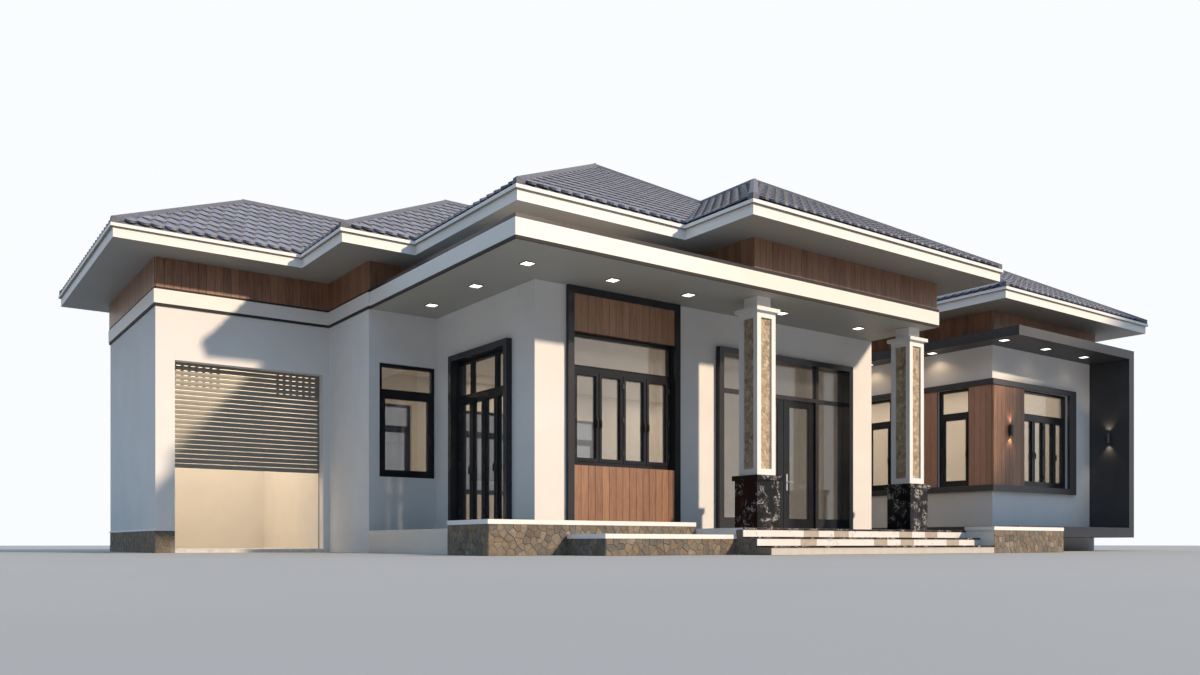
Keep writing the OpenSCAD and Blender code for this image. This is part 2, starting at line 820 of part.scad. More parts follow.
main_mid = (main_x + main_end) / 2;

module main_roof() color(tile) place() difference() { hip(main_eave); hollow(main_eave); }

module middle_roof() color(tile) place()
    difference() { hip(mid_eave); hollow(mid_eave); cutter(main_eave); }

module entrance_roof() color(tile) place()
    difference() { hip(entry_eave); hollow(entry_eave); cutter(main_eave); }

module garage_roof() color(tile) place()
    difference() {
        hip(bar_eave);
        hollow(bar_eave);
        cutter(main_eave);
        cutter(mid_eave);
        side_of_main(main_mid, wing_end + 2 * eave_over);
    }

module link_roof() color(tile) place()
    difference() {
        hip(bar_eave);
        hollow(bar_eave);
        cutter(main_eave);
        cutter(mid_eave);
        cutter(wing_eave);
        side_of_main(bar_eave[0] - eave_over, main_mid);
    }

module wing_roof() color(tile) place() difference() { hip(wing_eave); hollow(wing_eave); }

// Half of a roof's narrow side, which is the run of its hips
function half(r) = min(r[2] - r[0], r[3] - r[1]) / 2;
// Point at run s up a hip: i and j pick the corner, 0 for low and 1 for high
function on_hip(r, i, j, s) = [
    i == 0 ? r[0] + s : r[2] - s,
    j == 0 ? r[1] + s : r[3] - s,
    roof_z + rise(s)
];
function at_run(x, y, s) = [x, y, roof_z + rise(s)];

bar_half = half(bar_eave);
mid_half = half(mid_eave);
main_half = half(main_eave);
entry_half = half(entry_eave);
wing_half = half(wing_eave);
entry_mid_x = (entry_eave[0] + entry_eave[2]) / 2;
bar_mid_y = (bar_eave[1] + bar_eave[3]) / 2;
mid_mid_y = (mid_eave[1] + mid_eave[3]) / 2;

wing_mid_x = (wing_eave[0] + wing_eave[2]) / 2;
low_half = min(bar_half, wing_half);
high_half = max(bar_half, wing_half);

// Lines of the ridges and of the hips that are not inside a higher roof
cap_lines = [
    [on_hip(main_eave, 0, 0, 0), on_hip(main_eave, 0, 0, main_half)],
    [on_hip(main_eave, 0, 0, main_half), on_hip(main_eave, 0, 1, main_half)],
    [on_hip(main_eave, 1, 0, entry_half), on_hip(main_eave, 1, 0, main_half)],
    [on_hip(main_eave, 0, 1, mid_half), on_hip(main_eave, 0, 1, main_half)],
    [on_hip(main_eave, 1, 1, bar_half), on_hip(main_eave, 1, 1, main_half)],
    [on_hip(mid_eave, 0, 0, 0), on_hip(mid_eave, 0, 0, mid_half)],
    [on_hip(mid_eave, 0, 1, bar_half), on_hip(mid_eave, 0, 1, mid_half)],
    [on_hip(mid_eave, 0, 0, mid_half), at_run(main_eave[0] + mid_half, mid_mid_y, mid_half)],
    [on_hip(bar_eave, 0, 0, 0), on_hip(bar_eave, 0, 0, bar_half)],
    [on_hip(bar_eave, 0, 1, 0), on_hip(bar_eave, 0, 1, bar_half)],
    [on_hip(bar_eave, 0, 0, bar_half), at_run(mid_eave[0] + bar_half, bar_mid_y, bar_half)],
    [at_run(main_eave[2] - bar_half, bar_mid_y, bar_half),
     at_run(min(wing_eave[0] + bar_half, bar_eave[2] - bar_half), bar_mid_y, bar_half)],
    [on_hip(entry_eave, 0, 0, 0), on_hip(entry_eave, 0, 0, entry_half)],
    [on_hip(entry_eave, 1, 0, 0), on_hip(entry_eave, 1, 0, entry_half)],
    [on_hip(entry_eave, 0, 0, entry_half), at_run(entry_mid_x, main_eave[1] + entry_half, entry_half)],
    [on_hip(wing_eave, 0, 0, 0), on_hip(wing_eave, 0, 0, wing_half)],
    [on_hip(wing_eave, 1, 0, 0), on_hip(wing_eave, 1, 0, wing_half)],
    [on_hip(wing_eave, 0, 0, wing_half),
     at_run(wing_mid_x, max(bar_eave[1] + wing_half, wing_eave[3] - wing_half), wing_half)],
    [on_hip(wing_eave, 0, 1, low_half), on_hip(wing_eave, 0, 1, wing_half)],
    [on_hip(bar_eave, 1, 0, wing_half), on_hip(bar_eave, 1, 0, high_half)],
    [on_hip(bar_eave, 1, 1, 0), on_hip(bar_eave, 1, 1, high_half)]
];

module rod(p, q, r) {
    v = q - p;
    if (norm(v) > cap_lap)
        translate(p) rotate([0, acos(v[2] / norm(v)), atan2(v[1], v[0])])
            translate([0, 0, -cap_lap]) cylinder(r = r, h = norm(v) + 2 * cap_lap, $fn = 8);
}

// Level caps are a little larger than the hips' caps, which run in under them
module ridge_caps() color(tile) place()
    difference() {
        intersection() {
            union() for (l = cap_lines) rod(l[0], l[1], l[0][2] == l[1][2] ? cap_r + cap_step : cap_r);
            translate([0, 0, roof_z + cap_lift]) linear_extrude(house_d) rects(eaves, cap_lift);
        }
        for (r = [main_eave, wing_eave]) cutter(r);
        intersection() {
            cutter(mid_eave);
            side_of_main(bar_eave[0] - eave_over, main_mid);
        }
        intersection() {
            cutter(bar_eave);
            side_of_main(bar_eave[0] - eave_over, wing_mid_x);
        }
        intersection() {
            cutter(entry_eave);
            block([0, wing_x], [-house_d, main_eave[1] + main_half], [0, roof_z + house_d]);
        }
    }

// Dark frame and bands of the wing

module wing_frame() color(charcoal) place() {
    translate([0, 0, top_slab_z]) linear_extrude(top_slab_t) rects(frame_plan);
    translate([0, 0, base_slab_z]) linear_extrude(base_slab_t) rects(frame_plan);
    block([wing_end - fin_w, wing_end], [frame_y, wing_y],
          [base_slab_z + base_slab_t - 1, top_slab_z + 1]);
}

strip_end = wing_x + wing_win_x + wing_win_w + strip_end_w;

module strip(z0, h) {
    block([wing_x - strip_out, strip_end], [wing_y - strip_out, wing_y], [z0, z0 + h]);
    block([wing_x - strip_out, wing_x], [wing_y - 1, link_y], [z0, z0 + h]);
}

module window_bands() color(charcoal) place() {
    strip(wing_win_z - low_band_h, low_band_h);
    strip(wing_win_head, high_band_h);
    block([strip_end - strip_end_w, strip_end], [wing_y - strip_out, wing_y],
          [wing_win_z - 1, wing_win_head + 1]);
}

module board_panels() color(board) place() {
    block([wing_x - band_t, wing_x + wing_win_x], [wing_y - band_t, wing_y],
          [wing_win_z, wing_win_head]);
    block([wing_x - band_t, wing_x], [wing_y - 1, wing_y + wing_side_1_y],
          [wing_win_z, wing_win_head]);
    block([wing_x - band_t, wing_x],
          [wing_y + wing_side_1_y + wing_side_1_w,
           wing_y + wing_side_1_y + wing_side_1_w + side_board_w],
          [wing_win_z, wing_win_head]);
    for (z = [[floor_z, floor_z + box_sill], [floor_z + box_sill + box_win_h, slab_z - box_face]])
        block([box_left + box_face, box_right - box_face],
              [main_y - window_out + board_in, main_y + reveal + frame_d], z);
}

// Windows and surrounds

module window_frames() color(charcoal) place() fixed_windows();

module window_glass() color(pane) place() {
    fixed_windows(true);
    entrance_panes();
}

module front_window_surround() color(charcoal) place()
    difference() {
        block([box_left, box_right], [main_y - window_out, main_y + wall_t], [floor_z, slab_z]);
        block([box_left + box_face, box_right - box_face],
              [main_y - window_out - 1, main_y + wall_t + 1], [floor_z - 1, slab_z - box_face]);
    }

module side_window_surround() color(charcoal) place()
    difference() {
        block([main_x - box_out, main_x + wall_t],
              [main_y + tall_y, main_y + tall_y + tall_w], [floor_z, tall_head]);
        block([main_x - box_out - 1, main_x + wall_t + 1],
              [main_y + tall_y + tall_face, main_y + tall_y + tall_w - tall_face],
              [floor_z - 1, tall_head - tall_face]);
    }

// Entrance: surround, two posts, a bar over the doors, lights beside and over them

glazing_z = [floor_z + sidelight_sill, doorway_top, doorway_top + head_bar_h,
             door_box_head - door_face];
light_xs = [[door_box_left + door_face, post_1], [doorway_x, post_2],
            [post_2 + post_w, door_box_right - door_face]];

module entrance_frame() color(charcoal) place() {
    difference() {
        block([door_box_left, door_box_right], [main_y - box_out, main_y + wall_t],
              [floor_z, door_box_head]);
        block([door_box_left + door_face, door_box_right - door_face],
              [main_y - box_out - 1, main_y + wall_t + 1],
              [floor_z - 1, door_box_head - door_face]);
    }
    for (x = [post_1, post_2])
        block([x, x + post_w], [post_y, post_y + post_d], [floor_z, door_box_head - door_face + 1]);
    block([door_box_left + door_face - 1, door_box_right - door_face + 1],
          [post_y, post_y + post_d], [glazing_z[1], glazing_z[2]]);
    for (x = [light_xs[0], light_xs[2]])
        block([x[0] - 1, x[1] + 1], [post_y, post_y + post_d], [floor_z, glazing_z[0]]);
}

module entrance_panes() {
    y = post_y + (post_d - glass_t) / 2;
    for (x = [light_xs[0], light_xs[2]]) block(x, [y, y + glass_t], [glazing_z[0], glazing_z[1]]);
    for (x = light_xs) block(x, [y, y + glass_t], [glazing_z[2], glazing_z[3]]);
}

// A door leaf in its own frame: hinge edge at X = 0, leaf along +X, back face at Y = leaf_t
module leaf()
    difference() {
        cube([leaf_w, leaf_t, leaf_h]);
        translate([stile_w, -1, bottom_rail_h])
            cube([leaf_w - 2 * stile_w, leaf_t + 2, leaf_h - bottom_rail_h - top_rail_h]);
    }

module leaf_glass()
    translate([stile_w, (leaf_t - glass_t) / 2, bottom_rail_h])
        cube([leaf_w - 2 * stile_w, glass_t, leaf_h - bottom_rail_h - top_rail_h]);

// Hinge axis in the leaf's own frame
hinge_at = [-leaf_gap / 2, leaf_t + hinge_r + 1];
flap_t = 4;

// Moving barrel of a hinge, open for its pin, with a flap to the leaf's back face
module hinge_barrel(z)
    translate([hinge_at[0], hinge_at[1], z])
        difference() {
            union() {
                cylinder(r = hinge_r, h = hinge_h);
                translate([0, -hinge_r - 1, 0]) cube([45, flap_t, hinge_h]);
            }
            translate([0, 0, -1]) cylinder(r = hinge_pin_r + hinge_play, h = hinge_h + 2);
        }

// Fixed half of a hinge: pin and lower barrel, with a flap to the post's back face
module hinge_pin(z)
    translate([hinge_at[0], hinge_at[1], z]) {
        cylinder(r = hinge_pin_r, h = hinge_h);
        translate([0, 0, -hinge_h - 0.5]) cylinder(r = hinge_r, h = hinge_h);
        translate([0, 0, -1]) cylinder(r = hinge_pin_r, h = 2);
        translate([-45, -hinge_r - 1, -hinge_h - 0.5]) cube([45, flap_t, hinge_h]);
    }

module at_left_leaf() translate([doorway_x + leaf_gap, leaf_y, leaf_z]) children();
module at_right_leaf() translate([post_2 - leaf_gap, leaf_y, leaf_z]) mirror([1, 0, 0]) children();

module leaf_with_barrels() {
    leaf();
    for (z = hinge_heights) hinge_barrel(z);
}

module left_door() color(charcoal) place() at_left_leaf() leaf_with_barrels();

module right_door() color(charcoal) place() at_right_leaf() leaf_with_barrels();

module left_door_glass() color(pane) place() at_left_leaf() leaf_glass();

module right_door_glass() color(pane) place() at_right_leaf() leaf_glass();

module door_hinges() color(charcoal) place() {
    at_left_leaf() for (z = hinge_heights) hinge_pin(z);
    at_right_leaf() for (z = hinge_heights) hinge_pin(z);
}

lever_reach = 45;
module lever_set() {
    cube([36, 8, 300], center = true);
    rotate([90, 0, 0]) cylinder(r = 9, h = lever_reach);
    translate([0, -lever_reach, 0]) rotate([0, 90, 0]) cylinder(r = 9, h = 120);
}

module door_lever() color(steel) place() at_right_leaf()
    translate([leaf_w - stile_w / 2, 0, lever_h]) {
        translate([0, -4, 0]) mirror([1, 0, 0]) lever_set();
        translate([0, leaf_t + 4, 0]) mirror([1, 0, 0]) mirror([0, 1, 0]) lever_set();
    }

// Roller shutter of the garage: curtain in guides behind the front wall, roll housing over it

shutter_x = [garage_x + garage_pier_l, -garage_pier_r];
shutter_y = garage_y + wall_t + (guide_d - slat_t) / 2;
curtain_x = [shutter_x[0] - guide_w / 2 + shutter_clear, shutter_x[1] + guide_w / 2 - shutter_clear];
slat_count = ceil((garage_head - shutter_z) / slat_pitch);
shutter_top = shutter_z + slat_count * slat_pitch;

module garage_shutter() color(shutter_grey) place() {
    for (i = [0:slat_count - 1])
        block(curtain_x, [shutter_y, shutter_y + slat_t],
              [shutter_z + i * slat_pitch, shutter_z + (i + 1) * slat_pitch - slat_gap]);
    block(curtain_x, [shutter_y + slat_t / 3, shutter_y + 2 * slat_t / 3],
          [shutter_z, shutter_top]);
}

module shutter_guides() color(shutter_grey) place() {
    difference() {
        for (x = [shutter_x[0] - guide_w, shutter_x[1]])
            block([x, x + guide_w], [garage_y + wall_t, garage_y + wall_t + guide_d],
                  [garage_floor_z, shutter_top]);
        block([curtain_x[0] - shutter_clear, curtain_x[1] + shutter_clear],
              [shutter_y - shutter_clear, shutter_y + slat_t + shutter_clear],
              [0, shutter_top + 1]);
    }
    block([shutter_x[0] - guide_w, shutter_x[1] + guide_w],
          [garage_y + wall_t, garage_y + wall_t + roll_d], [shutter_top, shutter_top + roll_h]);
}

// Lamps

module downlight(x, y, z)
    translate([x - lamp_w / 2, y - lamp_w / 2, z - lamp_t]) cube([lamp_w, lamp_w, lamp_t]);

module downlights() color(shade_white) place() {
    for (i = [0:2]) downlight(lamp_in, lamp_row + i * lamp_step, slab_z);
    for (i = [1, 2]) downlight(lamp_in + i * lamp_step, lamp_row, slab_z);
    for (d = [lamp_4_in, lamp_5_in]) downlight(main_end - d, lamp_row, slab_z);
    for (i = [0:2])
        downlight(wing_x - frame_side / 2, frame_y + frame_lamp_in + i * frame_lamp_y, top_slab_z);
    for (i = [1, 2])
        downlight(wing_x - frame_side / 2 + i * frame_lamp_x, frame_y + frame_lamp_in, top_slab_z);
}

module wall_lamps() color(charcoal) place() {
    translate([wing_x + wall_lamp_x, wing_y - band_t - wall_lamp_r - 10, wall_lamp_z]) {
        cylinder(r = wall_lamp_r, h = wall_lamp_h, center = true);
        translate([-20, 0, -30]) cube([40, wall_lamp_r + 10, 60]);
    }
    translate([wing_end - fin_w - wall_lamp_r - 10, (frame_y + wing_y) / 2, wall_lamp_z]) {
        cylinder(r = wall_lamp_r, h = wall_lamp_h, center = true);
        translate([0, -20, -30]) cube([wall_lamp_r + 10, 40, 60]);
    }
}

house_floor();
garage_floor();
porch_floor();
step_risers();
step_treads();
left_planters();
right_planter();
planter_copings();
column_bases();
column_shafts();
column_panels();
garage_left_wall();
garage_back_wall();
garage_front_piers();
garage_front_lintel();
garage_partition();
side_front_wall();
main_left_wall();
main_front_piers();
main_front_lintel();
main_right_wall();
link_front_wall();
wing_left_wall();
wing_front_wall();
wing_right_wall();
back_wall();
ceiling_slab();
porch_canopy();
belt_course();
dark_strip();
board_band();
entrance_parapet();
soffit();
fascia();
garage_roof();
middle_roof();
main_roof();
entrance_roof();
link_roof();
wing_roof();
ridge_caps();
wing_frame();
window_bands();
board_panels();
window_frames();
window_glass();
front_window_surround();
side_window_surround();
entrance_frame();
left_door();
right_door();
left_door_glass();
right_door_glass();
door_lever();
door_hinges();
garage_shutter();
shutter_guides();
downlights();
wall_lamps();
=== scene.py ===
"""Looks of the single-storey house: finishes, roof tiles, boards, stones, trim, lights and camera.

Plan coordinates are in metres: X = 0 at the side block's left face, Y = 0 at the canopy's front edge
and Z = 0 on the ground.
"""
import json
import math
import random

import bmesh
import bpy
import numpy as np
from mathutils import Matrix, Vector


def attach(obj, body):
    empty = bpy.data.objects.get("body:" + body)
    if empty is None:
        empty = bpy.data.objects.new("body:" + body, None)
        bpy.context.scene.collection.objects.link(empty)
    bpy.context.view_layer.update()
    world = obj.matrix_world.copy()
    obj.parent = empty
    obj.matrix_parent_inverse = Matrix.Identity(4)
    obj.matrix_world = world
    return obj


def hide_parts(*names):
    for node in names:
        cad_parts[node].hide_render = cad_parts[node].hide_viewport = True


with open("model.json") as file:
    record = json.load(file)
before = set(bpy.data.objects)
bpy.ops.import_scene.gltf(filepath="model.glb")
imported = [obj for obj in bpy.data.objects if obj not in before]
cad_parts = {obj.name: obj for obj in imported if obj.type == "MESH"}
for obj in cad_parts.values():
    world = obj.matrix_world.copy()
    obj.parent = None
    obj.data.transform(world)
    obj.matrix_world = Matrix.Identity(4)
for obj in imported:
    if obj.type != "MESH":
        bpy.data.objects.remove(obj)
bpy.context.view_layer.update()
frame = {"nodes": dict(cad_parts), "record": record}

# The frame's origin in the plan
CENTRE = (6.42, 4.92)

# Outer faces of the side walls, from left to right
GARAGE_X = -2.98
SIDE_X = 0.0
MAIN_X = 1.26
MAIN_END = 9.06
WING_X = 11.76
WING_END = 15.82

# Outer faces of the fronts and of the back wall
WING_Y = 0.63
MAIN_Y = 1.535
SIDE_Y = 4.785
GARAGE_Y = 6.63
LINK_Y = 6.63
BACK_Y = 10.69

# Heights
FLOOR_Z = 0.375
SLAB_Z = 4.125
SLAB_TOP = 4.404
BAND_Z = 4.44
SOFFIT_Z = 4.933
ROOF_Z = 5.147

# The parapet over the entrance
PARAPET_X = 4.34
PARAPET_END = 9.025
PARAPET_Y = 0.035

# Steps between the planters
STEPS_X = 3.0
STEPS_END = 8.2
STEPS_Y = -1.65
RISER = 0.125
TREAD = 0.27
TREAD_T = 0.025

# Windows of the wing
WIN_Z = 1.368
WIN_HEAD = 3.43
WIN_H = WIN_HEAD - WIN_Z
# Boards from its corner to its front window and to its first side window, and that one's width
CORNER_FRONT = 1.13
CORNER_SIDE = 0.525
SIDE_WIN_W = 0.765
WIN_X = WING_X + CORNER_FRONT
SIDE_WIN_END = WING_Y + CORNER_SIDE + SIDE_WIN_W

# Surround of the main front's window: place, width, rim, lower panel and window
BOX_IN = 0.57
BOX_W = 2.25
BOX_RIM = 0.112
LOWER_PANEL_H = 0.995
BOX_WIN_H = 2.06
BOX_L = MAIN_X + BOX_IN + BOX_RIM
BOX_R = MAIN_X + BOX_IN + BOX_W - BOX_RIM

# Wall faces that carry the band under the eaves, with the outside on the right of the way
WALLS_LEFT = [(GARAGE_X, BACK_Y), (GARAGE_X, GARAGE_Y), (SIDE_X, GARAGE_Y), (SIDE_X, SIDE_Y),
              (MAIN_X, SIDE_Y), (MAIN_X, MAIN_Y), (PARAPET_X, MAIN_Y)]
WALLS_RIGHT = [(PARAPET_END, MAIN_Y), (MAIN_END, MAIN_Y), (MAIN_END, LINK_Y), (WING_X, LINK_Y),
               (WING_X, WING_Y), (WING_END, WING_Y), (WING_END, BACK_Y), (GARAGE_X, BACK_Y)]
PARAPET = [(PARAPET_X, MAIN_Y), (PARAPET_X, PARAPET_Y), (PARAPET_END, PARAPET_Y), (PARAPET_END, MAIN_Y)]

# Overhang and slope of the hip roofs
EAVE = 0.815
SLOPE_ANGLE = math.radians(30)
PITCH = math.tan(SLOPE_ANGLE)
COS = math.cos(SLOPE_ANGLE)


def eaves_round(x0, y0, x1):
    """Lowest X and Y and highest X and Y of a roof over walls from a front at y0 to the back."""
    return (x0 - EAVE, y0 - EAVE, x1 + EAVE, BACK_Y + EAVE)


GARAGE, MIDDLE, MAIN, ENTRANCE, WING = range(5)
EAVES = [
    eaves_round(GARAGE_X, GARAGE_Y, WING_END),
    eaves_round(SIDE_X, SIDE_Y, MAIN_END),
    eaves_round(MAIN_X, MAIN_Y, MAIN_END),
    eaves_round(PARAPET_X, PARAPET_Y, MAIN_END),
    eaves_round(WING_X, WING_Y, WING_END),
]


# Meshes

BOX_FACES = [(0, 2, 3, 1), (4, 5, 7, 6), (0, 1, 5, 4), (1, 3, 7, 5), (3, 2, 6, 7), (2, 0, 4, 6)]
PRISM_FACES = [(0, 1, 2, 3), (7, 6, 5, 4), (0, 4, 5, 1), (1, 5, 6, 2), (2, 6, 7, 3), (3, 7, 4, 0)]
# Edges sharper than this angle, in radians, are bevelled
BEVEL_FROM = 0.7


def to_frame(p):
    """A point of the plan in the frame's coordinates."""
    return (p[0] - CENTRE[0], p[1] - CENTRE[1], p[2])


class Pile:
    """Gathers closed solids into one mesh, in plan coordinates, with a tone for each solid."""

    def __init__(self):
        self.verts = []
        self.faces = []
        self.tones = []

    def add(self, verts, faces, tone=0.5, dark=()):
        """dark holds the numbers of the faces that get tone 0; on the tiles these are nose faces that carry
        painted shade.
        """
        start = len(self.verts)
        self.verts += [tuple(v) for v in verts]
        self.faces += [tuple(start + i for i in f) for f in faces]
        self.tones += [0.0 if i in dark else tone for i in range(len(faces))]

    def box(self, x, y, z, tone=0.5):
        """Box between two values of X, of Y and of Z."""
        self.add([(a, b, c) for c in z for b in y for a in x], BOX_FACES, tone)

    def make(self, name, mat, replaces=(), bevel=0.0, segments=1):
        """The piece made of all the solids, riding on the house."""
        mesh = bpy.data.meshes.new(name)
        mesh.from_pydata([to_frame(v) for v in self.verts], [], self.faces)
        tone = mesh.attributes.new("tone", "FLOAT", "FACE")
        tone.data.foreach_set("value", np.array(self.tones, np.float32))
        mesh.materials.append(mat)
        mesh.update()
        obj = bpy.data.objects.new(name, mesh)
        bpy.context.scene.collection.objects.link(obj)
        if bevel:
            edges = obj.modifiers.new("edges", "BEVEL")
            edges.width = bevel
            edges.segments = segments
            edges.limit_method = "ANGLE"
            edges.angle_limit = BEVEL_FROM
        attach(obj, "house")
        if replaces:
            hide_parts(*replaces)


# Material nodes

def nodes_of(name):
    """A new material, its node tree and its shader."""
    m = bpy.data.materials.new(name)
    m.use_nodes = True
    return m, m.node_tree, m.node_tree.nodes["Principled BSDF"]


def link(t, a, b):
    t.links.new(a, b)


def coords(t, scale=(1, 1, 1)):
    c = t.nodes.new("ShaderNodeTexCoord")
    s = t.nodes.new("ShaderNodeMapping")
    s.inputs["Scale"].default_value = scale
    link(t, c.outputs["Object"], s.inputs["Vector"])
    return s.outputs["Vector"]


def noise(t, vector, scale, detail=4.0, rough=0.55, distortion=0.0):
    n = t.nodes.new("ShaderNodeTexNoise")
    n.inputs["Scale"].default_value = scale
    n.inputs["Detail"].default_value = detail
    n.inputs["Roughness"].default_value = rough
    n.inputs["Distortion"].default_value = distortion
    link(t, vector, n.inputs["Vector"])
    return n.outputs["Fac"]


def grey(level):
    return (level, level, level)


def ramp(t, fac, stops):
    """Colour along a ramp of (place, colour) stops."""
    r = t.nodes.new("ShaderNodeValToRGB")
    elements = r.color_ramp.elements
    while len(elements) < len(stops):
        elements.new(0.5)
    for item, (place, colour) in zip(elements, stops):
        item.position = place
        item.color = (*colour, 1.0)
    link(t, fac, r.inputs["Fac"])
    return r.outputs["Color"]


def blend_colours(t, fac, a, b, mode="MIX"):
    m = t.nodes.new("ShaderNodeMix")
    m.data_type = "RGBA"
    m.blend_type = mode
    if isinstance(fac, float):
        m.inputs[0].default_value = fac
    else:
        link(t, fac, m.inputs[0])
    for socket, value in ((m.inputs[6], a), (m.inputs[7], b)):
        if isinstance(value, tuple):
            socket.default_value = (*value, 1.0)
        else:
            link(t, value, socket)
    return m.outputs[2]


def math_node(t, operation, a, b):
    m = t.nodes.new("ShaderNodeMath")
    m.operation = operation
    for socket, value in ((m.inputs[0], a), (m.inputs[1], b)):
        if isinstance(value, (int, float)):
            socket.default_value = value
        else:
            link(t, value, socket)
    return m.outputs[0]


def scaled(t, value, by):
    return math_node(t, "MULTIPLY", value, by)


def off_middle(t, value):
    """Distance of a noise from its middle value."""
    return math_node(t, "ABSOLUTE", math_node(t, "SUBTRACT", value, 0.5), 0.0)


def tone_of(t):
    """The tone that each solid of a pile has."""
    a = t.nodes.new("ShaderNodeAttribute")
    a.attribute_name = "tone"
    return a.outputs["Fac"]


def bump(t, shader, height, strength, distance):
    b = t.nodes.new("ShaderNodeBump")
    b.inputs["Strength"].default_value = strength
    b.inputs["Distance"].default_value = distance
    link(t, height, b.inputs["Height"])
    link(t, b.outputs["Normal"], shader.inputs["Normal"])


def facing(t, axis, below):
    """1 where the surface's own normal lies below a limit along a world axis, else 0."""
    g = t.nodes.new("ShaderNodeNewGeometry")
    x = t.nodes.new("ShaderNodeSeparateXYZ")
    link(t, g.outputs["Normal"], x.inputs[0])
    return math_node(t, "LESS_THAN", x.outputs[axis], below)


# Finishes

def speckled(name, low, high, rough, scale=(1, 1, 1), size=6.0, detail=5.0, relief=0.15,
             relief_size=90.0, metallic=0.0, toned=0.0, edge=None, gloss=0.5):
    """Surface whose colour drifts between two values, with a fine relief.

    toned is how much a solid's tone shifts the colour, and edge the grey that darkens faces of tone 0 as
    painted shade.
    """
    m, t, s = nodes_of(name)
    v = coords(t, scale)
    colour = ramp(t, noise(t, v, size, detail), [(0.3, low), (0.7, high)])
    if toned:
        stops = [(0.0, grey(edge)), (0.1, grey(1 - toned)), (1.0, grey(1 + toned))]
        colour = blend_colours(t, 1.0, colour, ramp(t, tone_of(t), stops), "MULTIPLY")
    link(t, colour, s.inputs["Base Color"])
    s.inputs["Roughness"].default_value = rough
    s.inputs["Metallic"].default_value = metallic
    s.inputs["Specular IOR Level"].default_value = gloss
    if relief:
        bump(t, s, noise(t, v, relief_size, detail=3.0), strength=relief, distance=0.003)
    return m


def stones(name, hues, rough, size, relief_size):
    """Each stone takes its colour from its tone, mottled by a noise."""
    m, t, s = nodes_of(name)
    v = coords(t)
    steps = [(i / (len(hues) - 1), hue) for i, hue in enumerate(hues)]
    patches = noise(t, v, size, detail=8.0, rough=0.65)
    mottle = ramp(t, patches, [(0.3, grey(0.62)), (0.7, (1.25, 1.22, 1.18))])
    colour = blend_colours(t, 1.0, ramp(t, tone_of(t), steps), mottle, "MULTIPLY")
    link(t, colour, s.inputs["Base Color"])
    s.inputs["Roughness"].default_value = rough
    bump(t, s, noise(t, v, relief_size, detail=5.0, rough=0.65), strength=0.6, distance=0.004)
    return m


def wood(name, dark, mid, light, pale):
    """Upright grain. A board's tone shifts it along the ramp, and a tone over 1 reaches the pale end."""
    m, t, s = nodes_of(name)
    grain = noise(t, coords(t, (9.0, 9.0, 0.75)), 4.0, detail=8.0, rough=0.65, distortion=0.6)
    fine = noise(t, coords(t, (60.0, 60.0, 2.2)), 3.0, detail=4.0, rough=0.6)
    mixed = math_node(t, "ADD", scaled(t, grain, 0.62), scaled(t, fine, 0.2))
    shifted = math_node(t, "ADD", mixed, scaled(t, tone_of(t), 0.17))
    colour = ramp(t, shifted, [(0.34, dark), (0.51, mid), (0.72, light), (0.98, pale)])
    link(t, colour, s.inputs["Base Color"])
    s.inputs["Roughness"].default_value = 0.42
    bump(t, s, fine, strength=0.2, distance=0.002)
    return m


def two_sided(name, main, other, axis, below, rough=0.55):
    """Paint with another colour on the faces that look one way, such as the undersides; on the eaves and
    soffits that darker colour is painted shade.
    """
    m, t, s = nodes_of(name)
    drift = noise(t, coords(t), 1.3, detail=4.0)
    first, second = [ramp(t, drift, [(0.3, tuple(0.95 * c for c in hue)), (0.7, hue)])
                     for hue in (main, other)]
    link(t, blend_colours(t, facing(t, axis, below), first, second), s.inputs["Base Color"])
    s.inputs["Roughness"].default_value = rough
    bump(t, s, noise(t, coords(t), 120.0, detail=3.0), strength=0.08, distance=0.003)
    return m


def veined(name, ground, cloud, vein, size, share, rough=0.12, gloss=0.5):
    """Polished stone: soft clouds and sparse veins that fade in and out.

    share is how much of the surface stays free of veins.
    """
    m, t, s = nodes_of(name)
    v = coords(t, grey(size))
    wide = off_middle(t, noise(t, v, 2.6, detail=6.0, rough=0.62, distortion=1.6))
    line = ramp(t, wide, [(0.0, grey(1)), (0.010, grey(0.45)), (0.024, grey(0))])
    fine = off_middle(t, noise(t, v, 8.0, detail=6.0, rough=0.62, distortion=1.8))
    thin = ramp(t, fine, [(0.0, grey(0.55)), (0.012, grey(0))])
    patches = noise(t, v, 3.1, detail=3.0, rough=0.5, distortion=0.4)
    where = ramp(t, patches, [(share, grey(0)), (share + 0.09, grey(1))])
    mask = blend_colours(t, 1.0, blend_colours(t, 1.0, line, thin, "LIGHTEN"), where, "MULTIPLY")
    base = ramp(t, noise(t, v, 4.0, detail=5.0), [(0.35, ground), (0.75, cloud)])
    link(t, blend_colours(t, mask, base, vein), s.inputs["Base Color"])
    s.inputs["Roughness"].default_value = rough
    s.inputs["Specular IOR Level"].default_value = gloss
    return m


def pane(name, tint, alpha):
    """Slightly wavy, tinted and reflecting window glass."""
    m, t, s = nodes_of(name)
    s.inputs["Base Color"].default_value = (*tint, 1.0)
    s.inputs["Roughness"].default_value = 0.02
    s.inputs["IOR"].default_value = 1.95
    s.inputs["Alpha"].default_value = alpha
    s.inputs["Specular IOR Level"].default_value = 0.9
    bump(t, s, noise(t, coords(t), 0.9, detail=1.0), strength=0.05, distance=0.02)
    return m


def glowing(name, colour, strength):
    m, _, s = nodes_of(name)
    s.inputs["Base Color"].default_value = (*colour, 1.0)
    s.inputs["Emission Color"].default_value = (*colour, 1.0)
    s.inputs["Emission Strength"].default_value = strength
    s.inputs["Roughness"].default_value = 0.5
    return m


